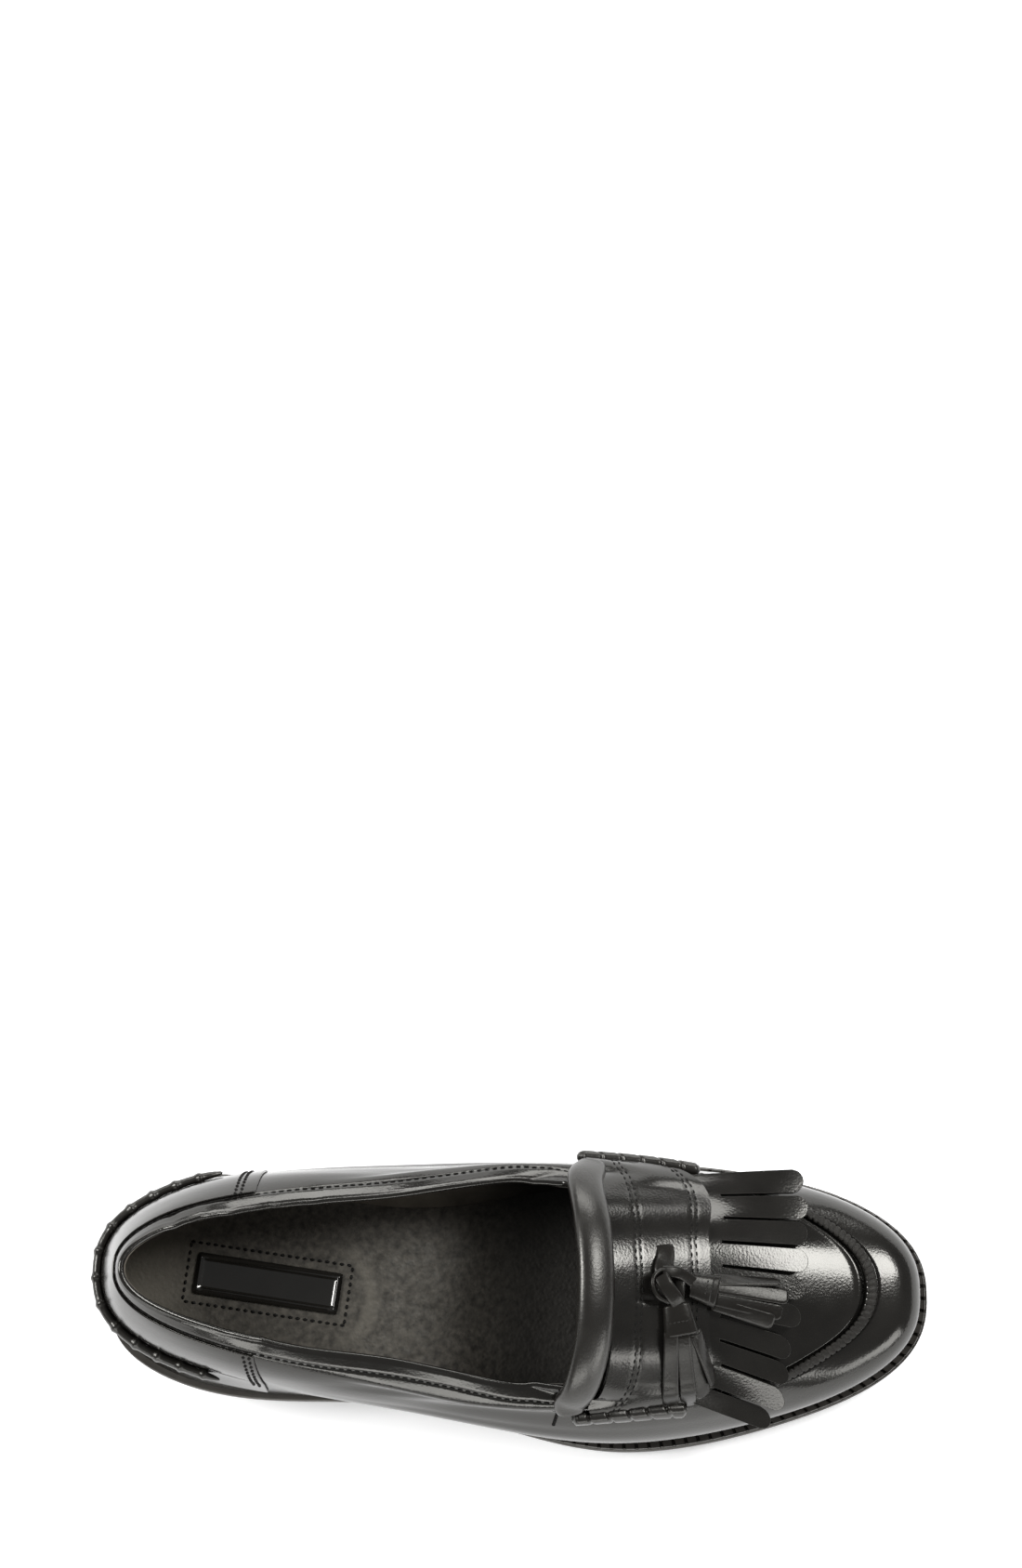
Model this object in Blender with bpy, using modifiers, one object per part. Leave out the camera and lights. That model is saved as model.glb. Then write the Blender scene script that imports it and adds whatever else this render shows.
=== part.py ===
"""Right-foot tassel loafer: sole, hollow upper and the leather pieces sewn on it.

Tables are in millimetres and the scene is in metres. +X points to the toe, +Y to
the inner (medial) side of the foot and +Z up. The upper is lofted through closed
rings that run round the last, from the feather line up to the collar.
"""

import math
from collections import namedtuple

import bmesh
import bpy
import numpy as np
from mathutils import Vector
from mathutils.bvhtree import BVHTree

MM = 0.001

# Driving sizes of the sole, in millimetres
GAP = 0.3
OUTSOLE_THICKNESS = 5.5
WELT_THICKNESS = 3.0
INSOLE_THICKNESS = 2.5
INSOLE_CLEARANCE = 1.3
HEEL_HEIGHT = 19.0
HEEL_PITCH = 2.5
HEEL_TAPER = 0.955
HEEL_INSET = 0.8
HEEL_CENTRE_X = -96.0
HEEL_BREAST_X = -60.0
TREAD_BACK_X = 18.0
TREAD_FRONT_X = 62.0
TOE_SPRING = 8.5

# Where the welt lies on the upper: rise of its inner edge, and its two ends in radians
WELT_RISE = 0.055
WELT_LATERAL_END = -1.86
WELT_MEDIAL_END = 1.55

# The counter: how far forward it reaches at its foot and at its top, and its gap to the upper
COUNTER_FOOT_X = -75.5
COUNTER_TOP_X = -78.5
COUNTER_LIFT = 0.5

# Thicknesses of the leather pieces, in millimetres
UPPER_WALL = 2.0
COUNTER_THICKNESS = 1.0
KILTIE_THICKNESS = 1.2
SADDLE_THICKNESS = 1.2
TASSEL_STRIP_THICKNESS = 2.0

# The fringed leaf: shares of its length or width, and the set-back of a tab's corners
TAB_SLIT = 0.1
TAB_ROOT = 0.22
TAB_CORNER = 2.4
FIRST_TAB = 0.65
KILTIE_BACK = 0.45
BAND_SHARE = 2 / 3
SKIRT_ROOT = 0.1
CAP_BLUNT = 0.25

# Facets along and across each piece
UPPER_GRID = (60, 14)
FINE_UPPER_GRID = (120, 36)
COUNTER_GRID = (18, 11)
OUTSOLE_GRID = (40, 4)
HEEL_GRID = (14, 4)
INSOLE_GRID = (32, 4)
WELT_GRID = (50, 1)
SADDLE_GRID = (26, 5)
CAP_GRID = (10, 12)
ROLL_SIDES = 10
SADDLE_SAMPLES = 81
EDGE_SAMPLES = 91
SHARP_ANGLE = 40.0
WELD_DISTANCE = 1e-6
SLOPE_STEP = 1e-3
PROBE_HEIGHT = 200.0

# Stations along a ring, from its heel end (0) to its toe end (1)
WIDTH_STATIONS = (0.08, 0.36, 0.62, 0.86, 0.96)
HEIGHT_STATIONS = (0.0, 0.36, 0.68, 0.93, 1.0)

# One row for each ring: where it starts and ends, how far its stations lean to the toe,
# how round its ends are, and its centre line, fullness and height at the stations.
Ring = namedtuple("Ring", "heel_x toe_x lean heel_round toe_round mids fulls heights")
FLAT = (0, 0, 0, 0, 0)
SOLE_EDGE = Ring(
    heel_x=-126.5, toe_x=133.0, lean=0.0, heel_round=0.60, toe_round=0.80,
    mids=(5.5, -3.2, -1.9, 0.8, 1.0), fulls=(45.2, 31.5, 46.5, 48.3, 48.5), heights=FLAT,
)
RINGS = (
    Ring(
        heel_x=-123.5, toe_x=128.2, lean=0.0, heel_round=0.68, toe_round=0.80,
        mids=(5.6, -1.8, -1.8, 0.6, 1.2), fulls=(41.0, 30.0, 42.5, 44.0, 44.0), heights=FLAT,
    ),
    Ring(
        heel_x=-126.4, toe_x=130.0, lean=0.04, heel_round=0.80, toe_round=0.80,
        mids=(6.2, 2.3, -1.6, 0.9, 1.4), fulls=(40.6, 39.3, 44.7, 46.4, 46.3), heights=(44, 33, 18, 21, 24),
    ),
    Ring(
        heel_x=-125.5, toe_x=125.0, lean=0.08, heel_round=0.80, toe_round=0.82,
        mids=(6.1, 2.8, 0.0, 1.6, 2.0), fulls=(39.4, 38.4, 42.5, 44.0, 43.0), heights=(51, 40, 28, 29, 31),
    ),
    Ring(
        heel_x=-124.2, toe_x=112.4, lean=0.15, heel_round=0.82, toe_round=0.90,
        mids=(6.0, 3.3, 2.4, 2.2, 2.5), fulls=(37.5, 36.4, 39.9, 41.5, 39.0), heights=(57.5, 46, 37, 35, 35),
    ),
    Ring(
        heel_x=-122.8, toe_x=88.0, lean=0.30, heel_round=0.86, toe_round=0.80,
        mids=(5.8, 3.7, 2.4, 2.4, 2.6), fulls=(34.0, 33.5, 39.6, 42.5, 41.5), heights=(64, 51, 42, 40.5, 42),
    ),
    Ring(
        heel_x=-121.2, toe_x=58.0, lean=0.50, heel_round=0.90, toe_round=0.70,
        mids=(5.6, 4.1, 2.6, 2.2, 2.4), fulls=(29.0, 29.3, 37.6, 45.5, 47.5),
        heights=(70.5, 56, 47, 46.5, 52.5),
    ),
    Ring(
        heel_x=-119.5, toe_x=27.0, lean=0.70, heel_round=0.95, toe_round=0.85,
        mids=(5.4, 4.5, 4.0, 3.0, 1.8), fulls=(22.2, 23.4, 28.0, 44.5, 66.0), heights=(77, 61, 55, 51, 66),
    ),
)

# Edges of the saddle band on the upper, lateral to medial: angle in degrees and rise
SADDLE_REAR = (
    (-82, 0.625), (-78, 0.77), (-62, 0.895), (-30, 0.95), (0, 0.96),
    (30, 0.95), (62, 0.895), (78, 0.77), (82, 0.60),
)
SADDLE_FRONT = (
    (-66, 0.62), (-57, 0.685), (-42, 0.755), (-21, 0.806), (0, 0.814),
    (21, 0.806), (42, 0.755), (57, 0.68), (66, 0.60),
)

# Tips of the fringe tabs, lateral to medial
TabTip = namedtuple("TabTip", "x y z width")
TABS = (
    TabTip(81.8, -39.9, 29.5, 7.0),
    TabTip(85.9, -33.1, 35.0, 7.4),
    TabTip(87.0, -25.4, 39.0, 7.4),
    TabTip(87.6, -17.6, 42.0, 7.6),
    TabTip(90.7, -7.4, 44.2, 7.8),
    TabTip(92.1, 1.2, 44.8, 7.8),
    TabTip(93.2, 9.8, 44.6, 7.8),
    TabTip(93.2, 18.4, 43.4, 7.8),
    TabTip(93.7, 27.0, 41.0, 7.8),
    TabTip(92.5, 35.6, 37.5, 7.8),
)

# Paths of the rolls on the upper: angle in degrees and rise
THROAT_PATH = (
    (-84.5, 0.74), (-81, 0.85), (-74, 0.935), (-58, 0.985), (-30, 0.997), (0, 1.0),
    (30, 0.997), (58, 0.985), (74, 0.935), (81, 0.85), (84.5, 0.70),
)
LATERAL_PATH = ((-86, 0.5), (-76, 0.5), (-66, 0.5))
MEDIAL_PATH = ((82, 0.5), (73, 0.5), (64, 0.5))
HEEL_PATH = ((137, 0.16), (151, 0.165), (165, 0.17), (180, 0.17), (195, 0.17), (209, 0.165), (223, 0.16))
ON_COUNTER = COUNTER_LIFT + COUNTER_THICKNESS + GAP

# Rolls: section in millimetres, facets along, and how blunt and how slim the ends are
Roll = namedtuple("Roll", "name path lift half_width half_height facets blunt end_width")
ROLLS = (
    Roll("throat_roll", THROAT_PATH, GAP, 5.8, 3.4, 40, 0.05, 0.68),
    Roll("side_roll_lateral", LATERAL_PATH, GAP, 2.1, 1.7, 14, 0.12, 1.0),
    Roll("side_roll_medial", MEDIAL_PATH, GAP, 2.1, 1.7, 14, 0.12, 1.0),
    Roll("heel_roll", HEEL_PATH, ON_COUNTER, 1.5, 1.2, 28, 0.12, 1.0),
)

# Tassel pieces lying on the saddle: start and end seen from above, and section
TasselCap = namedtuple("TasselCap", "name x_from y_from x_to y_to lift half_width half_height")
TASSEL_CAPS = (
    TasselCap("tassel_knot", 47.6, 13.2, 50.0, -3.4, 3.4, 4.6, 3.0),
    TasselCap("tassel_front_cap", 56.2, 1.2, 65.0, -0.2, 3.6, 5.2, 3.4),
    TasselCap("tassel_side_cap", 50.9, -4.4, 52.9, -14.8, 3.4, 5.6, 3.4),
)
TasselSkirt = namedtuple("TasselSkirt", "name x_from y_from x_to y_to root_width tip_width lift strips")
TASSEL_SKIRTS = (
    TasselSkirt("tassel_front_skirt", 65.4, -0.3, 85.2, -2.4, 9.0, 12.5, 4.9, 4),
    TasselSkirt("tassel_side_skirt", 53.0, -15.2, 57.4, -31.4, 9.0, 14.0, 4.4, 4),
)


def smooth_curve(stations, values, at, level_ends):
    """A smooth curve through the values; its ends run level or straight on."""
    stations = np.asarray(stations, float)
    values = np.asarray(values, float)
    slopes = np.zeros(len(values))
    slopes[1:-1] = (values[2:] - values[:-2]) / (stations[2:] - stations[:-2])
    if not level_ends:
        slopes[0] = (values[1] - values[0]) / (stations[1] - stations[0])
        slopes[-1] = (values[-1] - values[-2]) / (stations[-1] - stations[-2])
    at = np.clip(np.asarray(at, float), stations[0], stations[-1])
    left = np.clip(np.searchsorted(stations, at, side="right") - 1, 0, len(values) - 2)
    span = stations[left + 1] - stations[left]
    t = (at - stations[left]) / span
    rise = 3 * t**2 - 2 * t**3
    return (
        values[left] * (1 - rise)
        + values[left + 1] * rise
        + span * slopes[left] * (t - 2 * t**2 + t**3)
        + span * slopes[left + 1] * (t**3 - t**2)
    )


def sole_line(x):
    """Height of the outsole's underside: heel seat, arch, flat tread and toe spring."""
    x = np.asarray(x, float)
    seat = HEEL_HEIGHT - HEEL_PITCH * (x - SOLE_EDGE.heel_x) / (HEEL_BREAST_X - SOLE_EDGE.heel_x)
    down = np.clip((x - HEEL_BREAST_X) / (TREAD_BACK_X - HEEL_BREAST_X), 0, 1)
    arch = (HEEL_HEIGHT - HEEL_PITCH) * (1 - (3 * down**2 - 2 * down**3))
    up = np.clip((x - TREAD_FRONT_X) / (SOLE_EDGE.toe_x - TREAD_FRONT_X), 0, None)
    return np.where(x < HEEL_BREAST_X, seat, arch) + TOE_SPRING * up**2


def sole_top(x):
    return sole_line(x) + OUTSOLE_THICKNESS


def ring_points(ring, angles):
    """Points of a ring. Angle 0 is the toe, pi the heel, and positive angles are medial."""
    angles = np.asarray(angles, float)
    turned = angles - ring.lean * np.sin(angles)
    along = (1 + np.cos(turned)) / 2
    x = ring.heel_x + (ring.toe_x - ring.heel_x) * along
    ease = 3 * along**2 - 2 * along**3
    roundness = ring.heel_round * (1 - ease) + ring.toe_round * ease
    mid = smooth_curve(WIDTH_STATIONS, ring.mids, along, True)
    full = smooth_curve(WIDTH_STATIONS, ring.fulls, along, True)
    side = np.sin(turned)
    y = mid + full * np.sign(side) * np.abs(side) ** roundness
    z = smooth_curve(HEIGHT_STATIONS, ring.heights, along, False)
    if ring is RINGS[0]:
        z = sole_top(x) + GAP
    return np.stack([x, y, z], axis=-1)


def upper_points(angles, rises):
    """Outer surface of the upper. Rise 0 is the feather line and 1 the collar edge."""
    angles, rises = np.broadcast_arrays(np.asarray(angles, float), np.asarray(rises, float))
    rings = np.stack([ring_points(ring, angles) for ring in RINGS])
    slopes = np.gradient(rings, axis=0)
    level = np.clip(rises, 0, 1) * (len(RINGS) - 1)
    low = np.minimum(level.astype(int), len(RINGS) - 2)
    t = (level - low)[..., None]

    def at(table, index):
        return np.take_along_axis(table, index[None, ..., None], axis=0)[0]

    ease = 3 * t**2 - 2 * t**3
    return (
        at(rings, low) * (1 - ease)
        + at(rings, low + 1) * ease
        + at(slopes, low) * (t - 2 * t**2 + t**3)
        + at(slopes, low + 1) * (t**3 - t**2)
    )


def upper_normals(angles, rises):
    """Unit normals of the upper's outer surface, pointing away from the foot."""
    around = upper_points(angles + SLOPE_STEP, rises) - upper_points(angles - SLOPE_STEP, rises)
    above = upper_points(angles, np.minimum(rises + SLOPE_STEP, 1))
    below = upper_points(angles, np.maximum(rises - SLOPE_STEP, 0))
    normal = np.cross(around, above - below)
    return normal / np.linalg.norm(normal, axis=-1, keepdims=True)


def lifted(angles, rises, lift):
    """Points at a distance lift outside the upper."""
    return upper_points(angles, rises) + upper_normals(angles, rises) * lift


def path_through(rows, u):
    """Angles (radians) and rises along a path given as rows of angle in degrees and rise."""
    rows = np.asarray(rows, float)
    stations = np.linspace(0, 1, len(rows))
    angles = smooth_curve(stations, rows[:, 0], u, False)
    rises = smooth_curve(stations, rows[:, 1], u, False)
    return np.radians(angles), rises


def clear_scene():
    for old in list(bpy.data.objects):
        bpy.data.objects.remove(old)


def material(name, colour, roughness):
    made = bpy.data.materials.new(name)
    made.use_nodes = True
    shader = made.node_tree.nodes["Principled BSDF"]
    shader.inputs["Base Color"].default_value = (*colour, 1)
    shader.inputs["Roughness"].default_value = roughness
    return made


def add_piece(name, mesh_data, finish):
    """Puts a finished bmesh into the scene as one named object."""
    mesh = bpy.data.meshes.new(name)
    mesh_data.to_mesh(mesh)
    mesh_data.free()
    mesh.materials.append(finish)
    mesh.shade_smooth()
    mesh.set_sharp_from_angle(angle=math.radians(SHARP_ANGLE))
    piece = bpy.data.objects.new(name, mesh)
    parts.objects.link(piece)
    piece.parent = shoe
    return piece


def unit_grid(columns, rows):
    """A flat grid, with the unit coordinates (0 to 1 both ways) of its vertices."""
    made = bmesh.new()
    bmesh.ops.create_grid(made, x_segments=columns, y_segments=rows, size=0.5)
    u = np.array([vertex.co.x + 0.5 for vertex in made.verts])
    v = np.array([vertex.co.y + 0.5 for vertex in made.verts])
    return made, u, v


def move_vertices(made, spots):
    for vertex, spot in zip(made.verts, spots * MM):
        vertex.co = spot


def mapped_grid(grid, place):
    """A grid whose unit coordinates are moved to place(u, v), in millimetres."""
    made, u, v = unit_grid(*grid)
    move_vertices(made, place(u, v))
    bmesh.ops.remove_doubles(made, verts=made.verts, dist=WELD_DISTANCE)
    bmesh.ops.recalc_face_normals(made, faces=made.faces)
    return made


def closed_over(made, offset):
    """Turns a sheet into a closed solid: its copy is moved to offset(co), in metres."""
    copied = bmesh.ops.extrude_face_region(made, geom=made.faces[:], use_keep_orig=True)
    for item in copied["geom"]:
        if isinstance(item, bmesh.types.BMVert):
            item.co = offset(item.co)
    bmesh.ops.recalc_face_normals(made, faces=made.faces)
    return made


def slab(grid, place, to_height):
    """A solid between a mapped sheet and the same sheet at height to_height(x), in millimetres."""
    made = mapped_grid(grid, place)
    return closed_over(made, lambda co: Vector((co.x, co.y, float(to_height(co.x / MM)) * MM)))


def thickened(piece, thickness, inward=False):
    """Gives a sheet its thickness, away from the foot unless inward is asked for."""
    wall = piece.modifiers.new("wall", "SOLIDIFY")
    wall.thickness = thickness * MM
    wall.offset = -1 if inward else 1
    wall.use_even_offset = True
    return piece


def drawn_in(ring, inset):
    """The same ring, smaller all round by inset."""
    fulls = tuple(full - inset for full in ring.fulls)
    return ring._replace(heel_x=ring.heel_x + inset, toe_x=ring.toe_x - inset, fulls=fulls)


def ring_plan(ring, angle_from=math.pi, angle_to=0.0):
    """Places unit coordinates inside a ring: u from heel to toe, v from lateral to medial."""

    def place(u, v):
        angles = angle_from + (angle_to - angle_from) * u
        medial = ring_points(ring, angles)
        lateral = ring_points(ring, -angles)
        return lateral + (medial - lateral) * v[:, None]

    return place


def at_height(place, height):
    """The same placing, with every point at height(x)."""

    def placed(u, v):
        spots = place(u, v)
        spots[:, 2] = height(spots[:, 0])
        return spots

    return placed


def make_outsole():
    place = at_height(ring_plan(SOLE_EDGE), sole_line)
    return add_piece("outsole", slab(OUTSOLE_GRID, place, sole_top), rubber)


def make_heel():
    """Heel block under the seat, a little smaller at the floor than at the seat."""
    half = (SOLE_EDGE.toe_x - SOLE_EDGE.heel_x) / 2
    breast = math.acos((HEEL_BREAST_X - SOLE_EDGE.heel_x) / half - 1)
    outline = ring_plan(drawn_in(SOLE_EDGE, HEEL_INSET), math.pi, breast)
    made = mapped_grid(HEEL_GRID, at_height(outline, lambda x: sole_line(x) - GAP))
    centre = Vector((HEEL_CENTRE_X, SOLE_EDGE.mids[0], 0)) * MM

    def foot(co):
        return centre + (Vector((co.x, co.y, 0)) - centre) * HEEL_TAPER

    return add_piece("heel", closed_over(made, foot), rubber)


def make_insole():
    outline = ring_plan(drawn_in(RINGS[0], UPPER_WALL + INSOLE_CLEARANCE))
    place = at_height(outline, lambda x: sole_top(x) + GAP)
    made = slab(INSOLE_GRID, place, lambda x: sole_top(x) + GAP + INSOLE_THICKNESS)
    return add_piece("insole", made, sock)


def make_welt():
    """Strip round the forepart on top of the outsole, from waist to waist."""

    def place(u, v):
        angles = WELT_LATERAL_END + (WELT_MEDIAL_END - WELT_LATERAL_END) * u
        level = np.full_like(angles, WELT_RISE)
        outward = upper_normals(angles, level)[:, :2]
        outward /= np.linalg.norm(outward, axis=1, keepdims=True)
        inner = upper_points(angles, level)
        inner[:, :2] += outward * 2 * GAP
        spots = inner + (ring_points(SOLE_EDGE, angles) - inner) * v[:, None]
        spots[:, 2] = sole_top(spots[:, 0]) + GAP
        return spots

    made = slab(WELT_GRID, place, lambda x: sole_top(x) + GAP + WELT_THICKNESS)
    return add_piece("welt", made, rubber)


def on_upper(u, v):
    return upper_points(2 * math.pi * u, v)


def make_upper():
    """Hollow upper: an open wall from the feather line to the collar, given its thickness."""
    sheet = mapped_grid(UPPER_GRID, on_upper)
    return thickened(add_piece("upper", sheet, leather), UPPER_WALL, inward=True)


def angle_at(x, rise):
    """The angle, between the waist and the heel, at which the upper reaches x at this rise."""
    angles = np.linspace(math.pi, math.pi / 2, EDGE_SAMPLES)
    return np.interp(x, upper_points(angles, rise)[:, 0], angles)


def make_counter():
    """Back panel wrapped round the heel, from just above the sole to below the collar edge."""

    def place(u, v):
        rises = (1 + v * COUNTER_GRID[1]) / UPPER_GRID[1]
        front_x = COUNTER_FOOT_X + (COUNTER_TOP_X - COUNTER_FOOT_X) * v
        front = np.array([angle_at(x, rise) for x, rise in zip(front_x, rises)])
        angles = math.pi + (2 * u - 1) * (math.pi - front)
        return lifted(angles, rises, COUNTER_LIFT)

    return thickened(add_piece("counter", mapped_grid(COUNTER_GRID, place), leather), COUNTER_THICKNESS)


def rounded_ends(u, blunt):
    """Width factor of a roll along its length: full in the middle, closed at both ends."""
    from_end = np.minimum(u, 1 - u) / blunt
    return np.sqrt(np.clip(1 - (1 - np.clip(from_end, 0, 1)) ** 2, 0, 1))


def make_roll(row):
    """Padded roll lying on the upper along a path, oval in section and closed at both ends."""

    def place(u, v):
        angles, rises = path_through(row.path, u)
        ahead = upper_points(*path_through(row.path, np.minimum(u + SLOPE_STEP, 1)))
        behind = upper_points(*path_through(row.path, np.maximum(u - SLOPE_STEP, 0)))
        run = ahead - behind
        run /= np.linalg.norm(run, axis=1, keepdims=True)
        out = upper_normals(angles, rises)
        side = np.cross(out, run)
        turn = 2 * math.pi * v
        slim = 1 - (1 - row.end_width) * (2 * u - 1) ** 2
        size = slim * rounded_ends(u, row.blunt)
        centre = lifted(angles, rises, (row.lift + row.half_height * slim)[:, None])
        across = side * (row.half_width * size * np.cos(turn))[:, None]
        above = out * (row.half_height * size * np.sin(turn))[:, None]
        return centre + across + above

    return add_piece(row.name, mapped_grid((row.facets, ROLL_SIDES), place), trim)


def on_saddle(u, v, lift):
    """Points over the saddle band: u from lateral to medial, v from its rear to its front edge."""
    rear_angle, rear_rise = path_through(SADDLE_REAR, u)
    front_angle, front_rise = path_through(SADDLE_FRONT, u)
    return lifted(rear_angle + (front_angle - rear_angle) * v, rear_rise + (front_rise - rear_rise) * v, lift)


def make_saddle():
    lift = 2 * GAP + KILTIE_THICKNESS
    sheet = mapped_grid(SADDLE_GRID, lambda u, v: on_saddle(u, v, lift))
    return thickened(add_piece("saddle", sheet, leather), SADDLE_THICKNESS)


def comb(tabs, cells, base_rows, tab_rows, place):
    """A sheet with a solid band and separate tabs. place(tab, across, along) takes an along
    that runs from -1 (back of the band) through 0 (root) to 1 (tip)."""
    columns = tabs * cells + tabs - 1
    rows = base_rows + tab_rows
    per_tab = cells + 1
    made, u, v = unit_grid(columns, rows)
    slits = []
    for face in made.faces:
        middle = face.calc_center_median()
        column = int((middle.x + 0.5) * columns)
        if column % per_tab == cells and (middle.y + 0.5) * rows > base_rows:
            slits.append(face)
    column = np.rint(u * columns).astype(int)
    row = np.rint(v * rows).astype(int)
    tab = np.minimum(column // per_tab, tabs - 1)
    across = (column - tab * per_tab) / cells
    along = np.where(row <= base_rows, row / base_rows - 1, (row - base_rows) / tab_rows)
    move_vertices(made, place(tab, across, along))
    bmesh.ops.delete(made, geom=slits, context="FACES")
    bmesh.ops.recalc_face_normals(made, faces=made.faces)
    return made


def make_kiltie():
    """Fringed leaf: a band under the saddle and ten free tabs over the vamp."""
    tips = np.array(TABS)
    samples = np.linspace(0, 1, SADDLE_SAMPLES)
    front_y = on_saddle(samples, np.ones_like(samples), GAP)[:, 1]
    step = (front_y[-1] - front_y[0]) / (len(TABS) - 1 + FIRST_TAB)

    def place(tab, across, along):
        wide = np.where(tab == 0, FIRST_TAB, 1.0)
        start = np.maximum(tab - 1 + FIRST_TAB, 0)
        y = front_y[0] + step * (start + TAB_SLIT / 2 + across * (wide - TAB_SLIT))
        u = np.interp(y, front_y, samples)
        under = np.clip((along + 1) / BAND_SHARE, 0, 1)
        band = on_saddle(u, KILTIE_BACK + (1 - KILTIE_BACK) * under, GAP)
        front = on_saddle(u, np.ones_like(u), GAP)
        off_middle = 2 * across - 1
        tip = tips[tab, :3].copy()
        tip[:, 1] += off_middle * tips[tab, 3] / 2
        tip[:, 0] -= TAB_CORNER * off_middle**2
        root = TAB_ROOT * (along + 1 - BAND_SHARE) / (1 - BAND_SHARE)
        out = np.where(along < 0, root, TAB_ROOT + (1 - TAB_ROOT) * along)
        free = front + (tip - front) * np.clip(out, 0, 1)[:, None]
        is_free = out > WELD_DISTANCE
        spots = np.where(is_free[:, None], free, band)
        for index in np.flatnonzero(is_free):
            floor = vamp_height(spots[index, 0], spots[index, 1])
            spots[index, 2] = max(spots[index, 2], floor + 2 * GAP)
        return spots

    sheet = comb(tabs=len(TABS), cells=3, base_rows=3, tab_rows=4, place=place)
    return thickened(add_piece("kiltie", sheet, leather), KILTIE_THICKNESS)


def seen_from_above(x, y):
    """The upper's outer surface straight below a point: its spot and normal, or None beside it."""
    spot, normal, _, _ = upper_tree.ray_cast(Vector((x, y, PROBE_HEIGHT)), Vector((0, 0, -1)))
    return spot, normal


def vamp_height(x, y):
    """Height of the upper's outer surface at a point seen from above, or 0 beside it."""
    spot, _ = seen_from_above(x, y)
    return spot.z if spot else 0.0


def over_vamp(x, y, lift):
    """A point on the upper seen from above, lifted along the surface's normal."""
    spot, normal = seen_from_above(x, y)
    return spot + normal * lift


def make_tassel_cap(row):
    """Rounded wrap of leather: the knot, or the bound head of a tassel."""
    run = Vector((row.x_to - row.x_from, row.y_to - row.y_from, 0))
    side = Vector((-run.y, run.x, 0)).normalized()

    def place(u, v):
        spots = []
        for along, around in zip(u, v):
            x = row.x_from + run.x * along
            y = row.y_from + run.y * along
            turn = 2 * math.pi * around
            size = float(rounded_ends(along, CAP_BLUNT))
            spot = over_vamp(x, y, row.lift + row.half_height)
            spot += side * (row.half_width * size * math.cos(turn))
            spot.z += row.half_height * size * math.sin(turn)
            spots.append(spot)
        return np.array(spots)

    return add_piece(row.name, mapped_grid(CAP_GRID, place), trim)


def make_tassel_skirt(row):
    """Cut strips that fan out from a tassel's head."""
    run = Vector((row.x_to - row.x_from, row.y_to - row.y_from))
    side = Vector((-run.y, run.x)).normalized()

    def place(tab, across, along):
        spots = []
        for strip, cross, way in zip(tab, across, along):
            gone = (way + 1) * SKIRT_ROOT if way <= 0 else SKIRT_ROOT + (1 - SKIRT_ROOT) * way
            width = row.root_width + (row.tip_width - row.root_width) * gone
            offset = ((strip + TAB_SLIT + cross * (1 - 2 * TAB_SLIT)) / row.strips - 0.5) * width
            x = row.x_from + run.x * gone + side.x * offset
            y = row.y_from + run.y * gone + side.y * offset
            spots.append(over_vamp(x, y, row.lift))
        return np.array(spots)

    sheet = comb(tabs=row.strips, cells=2, base_rows=1, tab_rows=5, place=place)
    return thickened(add_piece(row.name, sheet, trim), TASSEL_STRIP_THICKNESS)


clear_scene()
parts = bpy.data.collections.new("tassel_loafer")
bpy.context.scene.collection.children.link(parts)
shoe = bpy.data.objects.new("shoe", None)
parts.objects.link(shoe)
rubber = material("black_rubber", (0.02, 0.02, 0.021), 0.6)
leather = material("polished_leather", (0.012, 0.012, 0.013), 0.18)
trim = material("soft_leather", (0.014, 0.014, 0.014), 0.35)
sock = material("sock_leather", (0.05, 0.047, 0.042), 0.6)
fine_upper = mapped_grid(FINE_UPPER_GRID, lambda u, v: on_upper(u, v) / MM)
upper_tree = BVHTree.FromBMesh(fine_upper)
fine_upper.free()

make_outsole()
make_heel()
make_insole()
make_welt()
make_upper()
make_counter()
make_saddle()
make_kiltie()
for roll in ROLLS:
    make_roll(roll)
for cap in TASSEL_CAPS:
    make_tassel_cap(cap)
for skirt in TASSEL_SKIRTS:
    make_tassel_skirt(skirt)

# The shoe stands with the middle of its box over the origin and its sole on the floor
bpy.context.view_layer.update()
built = bpy.context.evaluated_depsgraph_get()
corners = np.array([
    vertex.co
    for piece in parts.objects if piece.type == "MESH"
    for vertex in piece.evaluated_get(built).data.vertices
])
lowest = corners.min(axis=0)
highest = corners.max(axis=0)
shoe.location = (-(lowest[0] + highest[0]) / 2, -(lowest[1] + highest[1]) / 2, -lowest[2])
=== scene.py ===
"""Looks of a right-foot tassel loafer in black polished leather.

Shapes are worked out in millimetres on the same last as the frame: +X points to the toe,
+Y to the inner (medial) side of the foot and +Z up. Every piece is then moved into the
frame, in metres.
"""

import math
from collections import namedtuple

import bmesh
import bpy
import numpy as np
from mathutils import Matrix, Vector
from mathutils.bvhtree import BVHTree
from mathutils.kdtree import KDTree


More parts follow.
